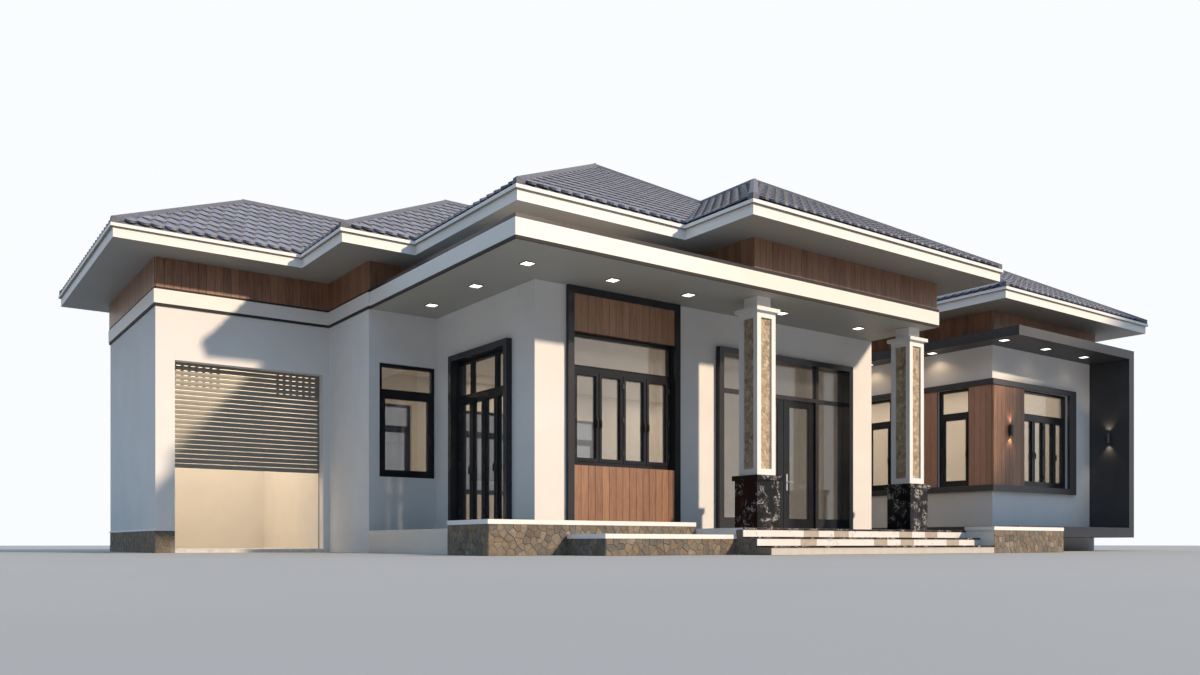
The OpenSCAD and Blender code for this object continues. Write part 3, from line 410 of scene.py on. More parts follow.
RUBBLE_HUES = [(0.10, 0.10, 0.095), (0.18, 0.155, 0.125), (0.13, 0.11, 0.09), (0.22, 0.175, 0.12),
               (0.155, 0.15, 0.14), (0.20, 0.15, 0.10), (0.25, 0.225, 0.19)]
MOSAIC_HUES = [(0.24, 0.19, 0.13), (0.50, 0.39, 0.26), (0.34, 0.27, 0.185), (0.58, 0.49, 0.36),
               (0.38, 0.30, 0.21), (0.53, 0.44, 0.32)]
EAVE_WHITE = (0.82, 0.815, 0.80)

M = {
    "plaster": speckled("wall_render", (0.735, 0.73, 0.72), (0.79, 0.785, 0.775), 0.75,
                        size=1.3, relief=0.12, relief_size=120.0),
    "white": speckled("white_paint", (0.78, 0.775, 0.76), (0.83, 0.825, 0.81), 0.5, size=1.7, relief=0.05),
    # The canopy's, eaves' and soffits' undersides take a darker grey than their white faces: painted shade.
    "eave": two_sided("eave_paint_shaded_under", EAVE_WHITE, (0.44, 0.445, 0.41), "Z", -0.5),
    "soffit": two_sided("soffit_paint_shaded_under", EAVE_WHITE, (0.31, 0.295, 0.265), "Z", -0.5),
    "paving": speckled("pale_stone", (0.60, 0.57, 0.53), (0.78, 0.75, 0.70), 0.45,
                       size=11.0, detail=8.0, relief=0.1),
    "plinth": two_sided("floor_and_plinth", (0.70, 0.67, 0.63), (0.765, 0.76, 0.75), "Z", 0.5, rough=0.7),
    "porch": two_sided("porch_stone", (0.045, 0.045, 0.05), (0.66, 0.63, 0.59), "Z", 0.5, rough=0.22),
    "rubble": stones("split_stone", RUBBLE_HUES, 0.8, size=12.0, relief_size=45.0),
    "mosaic": stones("stone_mosaic", MOSAIC_HUES, 0.6, size=26.0, relief_size=70.0),
    "marble": veined("black_marble", (0.007, 0.006, 0.007), (0.018, 0.016, 0.018),
                     (0.66, 0.65, 0.63), size=1.5, share=0.47, rough=0.1, gloss=0.16),
    "white_marble": veined("white_marble", (0.80, 0.79, 0.77), (0.86, 0.85, 0.84),
                           (0.36, 0.36, 0.38), size=1.6, share=0.55),
    "beige_stone": speckled("beige_stone", (0.42, 0.36, 0.30), (0.52, 0.45, 0.38), 0.35,
                            size=14.0, detail=6.0, relief=0.05),
    "cream_stone": speckled("cream_stone", (0.50, 0.47, 0.42), (0.58, 0.55, 0.50), 0.4,
                            size=5.0, detail=6.0, relief=0.05),
    # The tiles' nose faces, of tone 0, are darkened by edge: painted shade in the gap under each course.
    "tile": speckled("roof_tile", (0.142, 0.155, 0.205), (0.215, 0.23, 0.292), 0.56,
                     size=14.0, relief=0.2, relief_size=110.0, toned=0.16, edge=0.42),
    "cap": speckled("cap_tile", (0.095, 0.105, 0.14), (0.14, 0.15, 0.19), 0.75,
                    size=14.0, relief=0.2, relief_size=110.0),
    "wood": wood("board_wood", (0.122, 0.056, 0.031), (0.225, 0.110, 0.062),
                 (0.345, 0.185, 0.105), (0.52, 0.26, 0.18)),
    "charcoal": speckled("charcoal_coat", (0.032, 0.033, 0.038), (0.044, 0.046, 0.052), 0.42,
                         size=3.0, relief=0.03),
    "strip": speckled("strip_coat", (0.014, 0.013, 0.013), (0.02, 0.019, 0.019), 0.8, size=3.0, relief=0.03),
    "sash": speckled("sash_coat", (0.013, 0.014, 0.017), (0.019, 0.020, 0.024), 0.17,
                     size=3.0, relief=0.02, gloss=0.22),
    "surround": speckled("surround_coat", (0.024, 0.025, 0.029), (0.032, 0.033, 0.038), 0.24,
                         size=3.0, relief=0.03, gloss=0.3),
    "glass": pane("window_pane", (0.10, 0.115, 0.13), alpha=0.40),
    "shutter": speckled("slat_paint", (0.20, 0.198, 0.168), (0.25, 0.242, 0.208), 0.45,
                        size=2.5, relief=0.05),
    "steel": speckled("brushed_metal", (0.52, 0.52, 0.53), (0.66, 0.66, 0.67), 0.3,
                      scale=(1, 1, 30), size=8.0, relief=0.05, metallic=0.9),
    "lamp": glowing("lamp_glow", (1.0, 0.95, 0.85), strength=2.4),
    "fitting": speckled("black_fitting", (0.012, 0.012, 0.014), (0.02, 0.02, 0.022), 0.25,
                        size=6.0, relief=0.02),
    "mortar": speckled("mortar_bed", (0.12, 0.11, 0.095), (0.20, 0.18, 0.155), 0.9, size=30.0, relief=0.4),
    "planter": two_sided("planter_bed", (0.155, 0.14, 0.12), (0.76, 0.755, 0.74), "X", -0.5, rough=0.8),
}

# Look of each material slot of the record, and of the nodes that differ from their slot
SLOT_LOOK = {
    "plaster": "plaster", "white_trim": "white", "floor_stone": "paving", "rubble_stone": "mortar",
    "stone_mosaic": "mortar", "dark_marble": "marble", "roof_tile": "cap", "boards": "wood",
    "charcoal_metal": "charcoal", "window_glass": "glass", "shutter_metal": "shutter",
    "steel": "steel", "lamp_white": "lamp",
}
NODE_LOOK = {
    "porch_canopy": "eave", "dark_strip": "strip", "soffit": "soffit", "fascia": "soffit",
    "porch_floor": "porch", "right_planter": "planter", "house_floor": "plinth",
    "window_frames": "sash", "left_door": "sash", "right_door": "sash",
    "front_window_surround": "surround", "side_window_surround": "surround",
    "entrance_frame": "surround",
}
for row in frame["record"]["subparts"]:
    node_mesh = frame["nodes"][row["node"]].data
    node_mesh.materials.clear()
    node_mesh.materials.append(M[NODE_LOOK.get(row["node"], SLOT_LOOK[row["material_slot"]])])


# Roof tiles

TILE_W = 0.205
TILE_L = 0.34
# How far a tile reaches under the next course
TILE_OVER = 0.12
# Strips across a tile
TILE_PARTS = 6
# Height of a tile's roll, and the power that rounds it
TILE_ROLL = 0.020
ROLL_POWER = 0.8
# How far the rounded nose reaches out, and the power that rounds it
TILE_SCALLOP = 0.15
SCALLOP_POWER = 2.2
# Height of the nose over the shell, and of its front face
TILE_LIFT = 0.042
TILE_EDGE = 0.034
# Place and lift of the tile's middle, as shares of its length and of the nose's lift
MIDDLE_AT = 0.45
MIDDLE_LIFT = 0.62
# Lift and roll of the tile's head, and how deep its underside lies in the shell
HEAD_LIFT = 0.004
HEAD_ROLL = 0.8
HEAD_SINK = 0.012
# Longest run of a slope in the plan, and the first course's distance from the eave
LONGEST_RUN = 6.0
EAVE_GAP = 0.012
# Lowest and highest tone of a tile
TILE_TONES = (0.12, 1.0)
# A tile is tested this far below its end. It lies on the slope if a point is within ON_SLOPE of the
# roof's height there, is cut if one is more than PAST_HIP over it, and needs one point near the roof
TEST_BELOW = 0.02
ON_SLOPE = 0.06
PAST_HIP = 0.002
NEAR_ROOF = -0.9


def roof_height(x, y):
    """Highest roof at a point, as its run from the eave, and which roof it is."""
    best = -1.0
    who = None
    for i, (x0, y0, x1, y1) in enumerate(EAVES):
        run = min(x - x0, x1 - x, y - y0, y1 - y)
        if run > best + 1e-9:
            best = run
            who = i
    return best, who


def on_slope(side, edge, u, s):
    """Place in the plan of a point u along the eave and s up the run."""
    if side == "front":
        return (u, edge + s)
    if side == "back":
        return (-u, edge - s)
    if side == "left":
        return (edge + s, -u)
    return (edge - s, u)


def tile_solid(side, edge, u0, s0):
    """One tile: u along the eave, s up the run, both in plan metres. Its nose faces come first, so that they
    can take painted shade.
    """
    n = TILE_PARTS
    top = []
    low = []
    middle = s0 + MIDDLE_AT * TILE_L * COS
    head = s0 + TILE_L * COS + TILE_OVER * COS
    for k in range(n + 1):
        f = k / n
        u = u0 + f * TILE_W
        roll = TILE_ROLL * math.sin(math.pi * f) ** ROLL_POWER if 0 < f < 1 else 0.0
        foot = s0 - TILE_SCALLOP * COS * (1 - abs(2 * f - 1) ** SCALLOP_POWER)
        top.append((u, foot, TILE_LIFT + roll))
        top.append((u, middle, TILE_LIFT * MIDDLE_LIFT + roll))
        top.append((u, head, HEAD_LIFT + roll * HEAD_ROLL))
        low.append((u, foot, TILE_LIFT + roll - TILE_EDGE))
        low.append((u, middle, 0.0))
        low.append((u, head, -HEAD_SINK))
    m = len(top)
    faces = [(3 * k, m + 3 * k, m + 3 * k + 3, 3 * k + 3) for k in range(n)]
    for a in range(0, 3 * n, 3):
        b = a + 3
        for j in range(2):
            faces.append((a + j, b + j, b + j + 1, a + j + 1))
            faces.append((m + a + j, m + a + j + 1, m + b + j + 1, m + b + j))
        faces.append((a + 2, b + 2, m + b + 2, m + a + 2))
    for j in range(2):
        faces.append((j, j + 1, m + j + 1, m + j))
        e = 3 * n + j
        faces.append((e + 1, e, m + e, m + e + 1))
    verts = [(*on_slope(side, edge, u, s), ROOF_Z + s * PITCH + lift / COS) for u, s, lift in top + low]
    return verts, faces


def hip_planes(side, roof):
    """Upright planes at the two hips and the ridge of one slope, with normals pointing off the slope."""
    x0, y0, x1, y1 = EAVES[roof]
    x = (x0 + x1) / 2
    y = (y0 + y1) / 2
    r = math.sqrt(0.5)
    return {
        "front": [((x0, y0, 0), (-r, r, 0)), ((x1, y0, 0), (r, r, 0)), ((x0, y, 0), (0, 1, 0))],
        "back": [((x0, y1, 0), (-r, -r, 0)), ((x1, y1, 0), (r, -r, 0)), ((x0, y, 0), (0, -1, 0))],
        "left": [((x0, y0, 0), (r, -r, 0)), ((x0, y1, 0), (r, r, 0)), ((x, y0, 0), (1, 0, 0))],
        "right": [((x1, y0, 0), (-r, -r, 0)), ((x1, y1, 0), (-r, r, 0)), ((x, y0, 0), (-1, 0, 0))],
    }[side]


def clipped(verts, faces, planes):
    """The solid cut to the near side of each plane and closed, and which faces are the nose's."""
    bm = bmesh.new()
    corners = [bm.verts.new(v) for v in verts]
    nose = bm.faces.layers.int.new("nose")
    for i, face in enumerate(faces):
        bm.faces.new([corners[k] for k in face])[nose] = int(i < TILE_PARTS)
    for place, normal in planes:
        geom = bm.verts[:] + bm.edges[:] + bm.faces[:]
        cut = bmesh.ops.bisect_plane(bm, geom=geom, plane_co=place, plane_no=normal, clear_outer=True)
        edges = [e for e in cut["geom_cut"] if isinstance(e, bmesh.types.BMEdge)]
        if edges:
            bmesh.ops.holes_fill(bm, edges=edges, sides=0)
    bm.verts.index_update()
    points = [tuple(v.co) for v in bm.verts]
    loops = [tuple(v.index for v in f.verts) for f in bm.faces]
    noses = {i for i, f in enumerate(bm.faces) if f[nose]}
    bm.free()
    return points, loops, noses


def lay_slope(pile, rng, side, edge, lo, hi):
    """Every tile of one slope plane. lo and hi bound it along the eave, in X or Y."""
    run = TILE_L * COS
    start = -hi if side in ("back", "left") else lo
    for j in range(int(LONGEST_RUN / run)):
        s0 = EAVE_GAP + TILE_SCALLOP * COS + j * run
        for i in range(math.ceil((hi - lo) / TILE_W) + 1):
            u0 = start + (i - 0.5 * (j % 2)) * TILE_W
            tone = rng.uniform(*TILE_TONES)
            heights = []
            owners = []
            touches = False
            for share in (0.0, 0.5, 1.0):
                for s in (s0 - TEST_BELOW, s0 + run / 2, s0 + run):
                    height, owner = roof_height(*on_slope(side, edge, u0 + share * TILE_W, s))
                    heights.append(height)
                    touches = touches or abs(s - height) <= ON_SLOPE
                    if s - height > PAST_HIP:
                        owners.append(owner)
            if not touches or max(heights) <= NEAR_ROOF:
                continue
            verts, faces = tile_solid(side, edge, u0, s0)
            # Nose faces of every course but the first get tone 0: painted shade in the gap under each nose.
            dark = range(TILE_PARTS) if j else ()
            if owners:
                found = sorted({owner for owner in owners if owner is not None}, key=owners.count)
                if not found:
                    continue
                verts, faces, dark = clipped(verts, faces, hip_planes(side, found[-1]))
                if len(faces) < 4:
                    continue
            pile.add(verts, faces, tone, dark)


def slope(side, roof, lo=None, hi=None):
    """One slope of a roof for lay_slope, along its whole eave unless lo or hi says otherwise."""
    x0, y0, x1, y1 = EAVES[roof]
    edge = {"front": y0, "back": y1, "left": x0, "right": x1}[side]
    first, last = (x0, x1) if side in ("front", "back") else (y0, y1)
    return (side, edge, first if lo is None else lo, last if hi is None else hi)


# How far a lower slope runs on under its higher neighbours
UNDER_MIDDLE = 3.0
UNDER_MAIN = 4.0
UNDER_MAIN_FRONT = 3.2
UNDER_WING = 3.0

SLOPES = {
    "garage_roof_tiles": [slope("front", GARAGE, hi=EAVES[MIDDLE][0] + UNDER_MIDDLE), slope("left", GARAGE)],
    "middle_roof_tiles": [slope("front", MIDDLE, hi=EAVES[MAIN][0] + UNDER_MAIN), slope("left", MIDDLE)],
    "main_roof_tiles": [slope("front", MAIN), slope("left", MAIN),
                        slope("right", MAIN, lo=EAVES[ENTRANCE][1])],
    "entrance_roof_tiles": [slope("front", ENTRANCE),
                            slope("left", ENTRANCE, hi=EAVES[MAIN][1] + UNDER_MAIN_FRONT)],
    "link_roof_tiles": [slope("front", GARAGE, lo=EAVES[MAIN][2] - UNDER_MAIN,
                              hi=EAVES[WING][0] + UNDER_WING)],
    "wing_roof_tiles": [slope("front", WING), slope("left", WING), slope("right", WING)],
    "back_slope_tiles": [slope("back", GARAGE)],
}
for name, slopes in SLOPES.items():
    rng = random.Random(name)
    pile = Pile()
    for row in slopes:
        lay_slope(pile, rng, *row)
    pile.make(name, M["tile"])


# Boards and dark lines

BOARD_W = 0.135
BOARD_GAP = 0.004
# How much one board may be thinner than the next
BOARD_STEP = 0.0015
BOARD_BEVEL = 0.002
# Thickness of the boards of the band, the parapet, the window surround and the wing
BAND_T = 0.024
PARAPET_T = 0.016
BOX_BOARD_T = 0.012
WING_BOARD_T = 0.034
# Surround's boards out from the wall face, and gaps of boards at a frame and at the soffit
BOX_PANEL_OUT = 0.035
PANEL_CLEAR = 0.002
SOFFIT_CLEAR = 0.001
# Boards behind the first window of the wing's left wall
SIDE_BOARDS = 0.325
# Dark line at the boards' foot: height under the parapet, lap over the course, and thicknesses
LINE_H = 0.03
LINE_LAP = 0.002
BAND_LINE_T = 0.020
PARAPET_LINE_T = 0.018
# Dark strip along the canopy's top edge, and its distance from the side block's wall
EDGE_STRIP_H = 0.055
EDGE_STRIP_T = 0.018
EDGE_STRIP_END = 0.044


def legs(*chains):
    """Each pair of neighbouring points of some chains."""
    for chain in chains:
        yield from zip(chain, chain[1:])


def wall_strip(pile, a, b, s0, s1, thick, z0, z1, tone=0.5):
    """Upright solid on the wall face from a to b, between two lengths, standing out on its right."""
    length = math.hypot(b[0] - a[0], b[1] - a[1])
    ux = (b[0] - a[0]) / length
    uy = (b[1] - a[1]) / length
    corners = [(s0, 0.0), (s1, 0.0), (s1, thick), (s0, thick)]
    plan = [(a[0] + ux * s + uy * out, a[1] + uy * s - ux * out) for s, out in corners]
    pile.add([(x, y, z) for z in (z0, z1) for x, y in plan], PRISM_FACES, tone)


def board_run(pile, rng, a, b, z0, z1, thick, pale=0.0):
    """Upright boards on the wall face from a to b. pale is added to their tones of 0 to 1."""
    length = math.hypot(b[0] - a[0], b[1] - a[1])
    count = max(1, round(length / BOARD_W))
    step = length / count
    for i in range(count):
        t = thick - rng.random() * BOARD_STEP
        wall_strip(pile, a, b, i * step + BOARD_GAP / 2, (i + 1) * step - BOARD_GAP / 2, t, z0, z1,
                   pale + rng.random())


def line_run(pile, a, b, z0, z1, thick):
    """Plain strip on the wall face from a to b, carried round its corners."""
    length = math.hypot(b[0] - a[0], b[1] - a[1])
    wall_strip(pile, a, b, -thick, length + thick, thick, z0, z1)


rng = random.Random("boards")
pile = Pile()
for a, b in legs(WALLS_LEFT, WALLS_RIGHT):
    board_run(pile, rng, a, b, BAND_Z, SOFFIT_Z - SOFFIT_CLEAR, BAND_T, pale=0.2)
pile.make("board_band_boards", M["wood"], replaces=["board_band"], bevel=BOARD_BEVEL)

pile = Pile()
for a, b in legs(PARAPET):
    board_run(pile, rng, a, b, SLAB_TOP + LINE_H, SOFFIT_Z - SOFFIT_CLEAR, PARAPET_T, pale=0.45)
pile.make("parapet_boards", M["wood"], bevel=BOARD_BEVEL)

pile = Pile()
window_foot = FLOOR_Z + LOWER_PANEL_H
panel_y = MAIN_Y - BOX_PANEL_OUT
for z0, z1, pale in ((FLOOR_Z, window_foot, 0.3), (window_foot + BOX_WIN_H, SLAB_Z - BOX_RIM, 1.2)):
    board_run(pile, rng, (BOX_L, panel_y), (BOX_R, panel_y), z0 + PANEL_CLEAR, z1 - PANEL_CLEAR,
              BOX_BOARD_T, pale)
# The runs on the wing's left wall, with 2.1 added, reach the wood's paler, redder end: partly their redder
# wood, partly painted warm light from the lamps under the frame.
for a, b, pale in (((WING_X, WING_Y), (WIN_X, WING_Y), 0.0),
                   ((WING_X, WING_Y + CORNER_SIDE), (WING_X, WING_Y), 2.1),
                   ((WING_X, SIDE_WIN_END + SIDE_BOARDS), (WING_X, SIDE_WIN_END), 2.1)):
    board_run(pile, rng, a, b, WIN_Z + PANEL_CLEAR, WIN_HEAD - PANEL_CLEAR, WING_BOARD_T, pale)
pile.make("window_boards", M["wood"], bevel=BOARD_BEVEL)

pile = Pile()
for a, b in legs(WALLS_LEFT, WALLS_RIGHT):
    line_run(pile, a, b, SLAB_TOP - LINE_LAP, BAND_Z, BAND_LINE_T)
for a, b in legs(PARAPET):
    line_run(pile, a, b, SLAB_TOP, SLAB_TOP + LINE_H, PARAPET_LINE_T)
pile.make("board_foot_line", M["strip"])

pile = Pile()
corner = (SIDE_X + EDGE_STRIP_T, EDGE_STRIP_T)
for a, b in ((corner, (MAIN_END - EDGE_STRIP_T, EDGE_STRIP_T)),
             ((corner[0], SIDE_Y - EDGE_STRIP_END), (corner[0], 2 * EDGE_STRIP_T))):
    line_run(pile, a, b, SLAB_TOP, SLAB_TOP + EDGE_STRIP_H, EDGE_STRIP_T)
pile.make("canopy_edge_strip", M["surround"], bevel=0.002)


# Stones

# Length and height of a stone, how far it stands out, and its joint
RUBBLE = (0.125, 0.085, 0.009, 0.005)
MOSAIC = (0.085, 0.06, 0.007, 0.003)
# How far a stone's middle point strays in its cell
STRAY = 0.78
# Share of a stone's height where its rounded edge starts, and the size of its top
ROUND_FROM = 0.65
TOP_SHARE = 0.8
# Least height of a stone, what chance adds to it, and the wobble of its corners, as shares
LEAST_OUT = 0.7
MORE_OUT = 0.6
WOBBLE = 0.25

RIGHT = (1, 0, 0)
LEFT = (-1, 0, 0)
BACK = (0, 1, 0)
FRONT = (0, -1, 0)


def cut_back(poly, nx, ny, limit):
    """The part of a polygon where nx * x + ny * y stays under a limit."""
    kept = []
    for k, a in enumerate(poly):
        b = poly[(k + 1) % len(poly)]
        da = nx * a[0] + ny * a[1] - limit
        db = nx * b[0] + ny * b[1] - limit
        if da <= 0:
            kept.append(a)
        if (da < 0 < db) or (db < 0 < da):
            f = da / (da - db)
            kept.append((a[0] + f * (b[0] - a[0]), a[1] + f * (b[1] - a[1])))
    return kept


def cell(field, p, others, joint):
    """The part of a field that lies nearer to p than to the other points, drawn in by half a joint."""
    for q in others:
        distance = math.hypot(q[0] - p[0], q[1] - p[1])
        nx = (q[0] - p[0]) / distance
        ny = (q[1] - p[1]) / distance
        limit = nx * (p[0] + q[0]) / 2 + ny * (p[1] + q[1]) / 2 - joint / 2
        field = cut_back(field, nx, ny, limit)
        if len(field) < 3:
            return []
    return field


def cell_polygons(w, h, size_u, size_v, joint, rng):
    """Irregular stones that fill a w by h field."""
    nu = max(1, round(w / size_u))
    nv = max(1, round(h / size_v))
    points = {}
    for j in range(nv):
        shift = 0.5 * (j % 2) - 0.25
        for i in range(nu):
            u = (i + 0.5 + shift + (rng.random() - 0.5) * STRAY) * w / nu
            v = (j + 0.5 + (rng.random() - 0.5) * STRAY) * h / nv
            points[i, j] = (u, v)
    cells = []
    for (i, j), p in points.items():
        near = [points.get((i + di, j + dj)) for di in range(-2, 3) for dj in range(-2, 3)]
        others = [q for q in near if q not in (None, p)]
        cells.append(cell([(0.0, 0.0), (w, 0.0), (w, h), (0.0, h)], p, others, joint))
    return [c for c in cells if c]


def stone_face(pile, rng, kind, origin, along, out, w, h):
    """Stones of one kind on an upright face w long and h high."""
    size_u, size_v, thick, joint = kind
    o = Vector(origin)
    u = Vector(along)
    up = Vector((0, 0, 1))
    n = Vector(out)
    for poly in cell_polygons(w, h, size_u, size_v, joint, rng):
        k = len(poly)
        cx = sum(p[0] for p in poly) / k
        cy = sum(p[1] for p in poly) / k
        t = thick * (LEAST_OUT + MORE_OUT * rng.random())
        verts = []
        for share, height in ((1.0, 0.0), (1.0, t * ROUND_FROM), (TOP_SHARE, t)):
            wobble = WOBBLE * thick if height else 0.0
            for p in poly:
                place = o + u * (cx + (p[0] - cx) * share) + up * (cy + (p[1] - cy) * share)
                verts.append(place + n * (height + (rng.random() - 0.5) * wobble))
        faces = [tuple(range(k))[::-1], tuple(2 * k + i for i in range(k))]
        for start in (0, k):
            for i in range(k):
                a = start + i
                b = start + (i + 1) % k
                faces.append((a, b, b + k, a + k))
        pile.add(verts, faces, rng.random())


# Left faces, fronts, depths and tops of the high, low and right planters
HIGH_X = -0.47
HIGH_Y = -0.12
HIGH_DEPTH = 1.1
HIGH_TOP = 0.405
LOW_X = 0.735
LOW_Y = -0.98
LOW_DEPTH = HIGH_Y - LOW_Y
LOW_TOP = 0.22
RIGHT_END = 10.34
RIGHT_DEPTH = 0.54
RIGHT_TOP = 0.38
# Clearance of the stones under a tread
TREAD_CLEAR = 0.002
# Stone plinth of the garage, and the white course on it
PIER_W = 0.305
PLINTH_TOP = 0.37
COURSE_OUT = 0.02
COURSE_H = 0.025

rng = random.Random("stones")
pile = Pile()
for origin, along, out, w, h in (
        ((HIGH_X, HIGH_Y, 0), RIGHT, FRONT, STEPS_X - HIGH_X, HIGH_TOP),
        ((HIGH_X, HIGH_Y + HIGH_DEPTH, 0), FRONT, LEFT, HIGH_DEPTH, HIGH_TOP),
        ((LOW_X, LOW_Y, 0), RIGHT, FRONT, STEPS_X - LOW_X, LOW_TOP),
        ((LOW_X, HIGH_Y, 0), FRONT, LEFT, LOW_DEPTH, LOW_TOP),
        ((STEPS_X, LOW_Y, 0), BACK, RIGHT, LOW_DEPTH, LOW_TOP),
        ((STEPS_END, STEPS_Y, 0), RIGHT, FRONT, RIGHT_END - STEPS_END, RIGHT_TOP),
        ((RIGHT_END, STEPS_Y, 0), BACK, RIGHT, RIGHT_DEPTH, RIGHT_TOP)):
    stone_face(pile, rng, RUBBLE, origin, along, out, w, h)
for i in range(3):
    y0 = STEPS_Y + i * TREAD
    y1 = min(y0 + TREAD, LOW_Y)
    top = (i + 1) * RISER - TREAD_T - TREAD_CLEAR
    stone_face(pile, rng, RUBBLE, (STEPS_X, y1, 0), FRONT, LEFT, y1 - y0, top)
stone_face(pile, rng, RUBBLE, (GARAGE_X, GARAGE_Y, 0.0), RIGHT, FRONT, PIER_W, PLINTH_TOP)
stone_face(pile, rng, RUBBLE, (GARAGE_X, BACK_Y, 0.0), FRONT, LEFT, BACK_Y - GARAGE_Y, PLINTH_TOP)
pile.make("planter_stones", M["rubble"], bevel=0.003)

pile = Pile()
for x, y in (((GARAGE_X - COURSE_OUT, GARAGE_X + PIER_W), (GARAGE_Y - COURSE_OUT, GARAGE_Y)),
             ((GARAGE_X - COURSE_OUT, GARAGE_X), (GARAGE_Y, BACK_Y))):
    pile.box(x, y, (PLINTH_TOP, PLINTH_TOP + COURSE_H))
pile.make("plinth_course", M["white"], bevel=0.003)

# Columns: places, base and its cap, capital, neck, and half the shaft's width
COLUMNS = ((4.823, 0.436), (8.713, 0.436))
BASE_H = 0.795
BASE_CAP_H = 0.08
CAPITAL_H = 0.06
NECK_H = 0.19
SHAFT_HALF = 0.207
# Stone panels of the shafts: width, recess, bed, and distance from foot and head
PANEL_W = 0.24
PANEL_IN = 0.05
PANEL_BED = 0.012
PANEL_FOOT = 0.105
PANEL_HEAD = 0.10

rng = random.Random("mosaic")
pile = Pile()
panel_z = FLOOR_Z + BASE_H + BASE_CAP_H + PANEL_FOOT
panel_top = SLAB_Z - NECK_H - CAPITAL_H - PANEL_HEAD
face = SHAFT_HALF - PANEL_IN + PANEL_BED
for cx, cy in COLUMNS:
    for along, out in ((RIGHT, FRONT), (LEFT, BACK), (FRONT, LEFT), (BACK, RIGHT)):
        x = cx - along[0] * PANEL_W / 2 + out[0] * face
        y = cy - along[1] * PANEL_W / 2 + out[1] * face
        origin = (x, y, panel_z)
        stone_face(pile, rng, MOSAIC, origin, along, out, PANEL_W, panel_top - panel_z)
pile.make("column_mosaic", M["mosaic"])


# Stone facing of the steps

# Thickness of the slabs and half the joint between them
FACING = 0.004
SLAB_JOINT = 0.001
# No slab is shorter than this at a riser's end, and gap under the lowest slabs
SHORTEST = 0.05
GROUND_GAP = 0.002
# Widths of the white and beige slabs, in turn, on the second and third risers
SECOND_RISER = (0.86, 0.33, 1.28, 0.31, 0.33, 0.32)
THIRD_RISER = (1.22, 0.32, 0.34, 0.33)
CREAM_SLABS = 5
NOSING_OUT = 0.014


def slab(pile, x0, x1, y, z, tone):
    """One slab of a riser whose face is at y."""
    pile.box((x0 + SLAB_JOINT, x1 - SLAB_JOINT), (y - FACING, y + SLAB_JOINT), z, tone)


def facing_row(white, beige, widths, y, z, rng):
    """White slabs with beige ones between them, along one riser."""
    x = STEPS_X
    k = 0
    while x < STEPS_END - 0.01:
        x1 = min(x + widths[k % len(widths)], STEPS_END)
        if STEPS_END - x1 < SHORTEST:
            x1 = STEPS_END
        slab(beige if k % 2 else white, x, x1, y, z, rng.random())
        x = x1
        k += 1


rng = random.Random("steps")
white = Pile()
beige = Pile()
cream = Pile()
for i, widths in ((1, SECOND_RISER), (2, THIRD_RISER)):
    z = (i * RISER + SLAB_JOINT, (i + 1) * RISER - TREAD_T)
    facing_row(white, beige, widths, STEPS_Y + i * TREAD, z, rng)
cream_w = (STEPS_END - STEPS_X) / CREAM_SLABS
z = (GROUND_GAP, RISER - TREAD_T)
for k in range(CREAM_SLABS):
    slab(cream, STEPS_X + k * cream_w, STEPS_X + (k + 1) * cream_w, STEPS_Y, z, 0.5)
white.make("riser_white_slabs", M["white_marble"], bevel=0.001)
beige.make("riser_beige_slabs", M["beige_stone"], bevel=0.001)
cream.make("riser_cream_slabs", M["cream_stone"], bevel=0.001)
pile = Pile()
porch_y = STEPS_Y + 2 * TREAD
pile.box((STEPS_X, STEPS_END), (porch_y - NOSING_OUT, porch_y + SLAB_JOINT),
         (FLOOR_Z - TREAD_T, FLOOR_Z - SLAB_JOINT))
pile.make("porch_nosing", M["marble"], bevel=0.002)


# Roller shutter

SHUT_X0 = -2.704
SHUT_X1 = -0.083
SHUT_Y = 6.851
SHUT_T = 0.018
SHUT_Z = 1.455
SHUT_TOP = 3.295
SLATS = 22
SLIT = 0.012
# Depth of a slat's curve, and the drop of its lip
SLAT_CURVE = 0.006
LIP = 0.004
# Webs across the slits: width, place from the curtain's ends, and depth
WEB = 0.05
WEB_IN = 0.03
WEB_SET = 0.009
# Small vents at both ends of the highest slits
VENT_ROWS = 5
VENTS = 6
VENT_W = 0.71
VENT_IN = 0.08
BOTTOM_BAR = 0.03
# Overlap that joins the shutter's solids
LAP = 0.001


def slat_profile(z0, z1):
    """Outline of a slat in Y and Z, with a shallow curve on its face."""
    outline = [(SHUT_Y + SHUT_T, z0), (SHUT_Y + SLAT_CURVE, z0), (SHUT_Y + LAP, z0 + SLAT_CURVE)]
    for f in (0.25, 0.5, 0.75):
        y = SHUT_Y + SLAT_CURVE * (1 - math.sin(math.pi * f))
        outline.append((y, z0 + SLAT_CURVE + f * (z1 - z0 - 2 * SLAT_CURVE)))
    return outline + [(SHUT_Y + LIP, z1 - LIP), (SHUT_Y + 2 * LIP, z1), (SHUT_Y + SHUT_T, z1)]


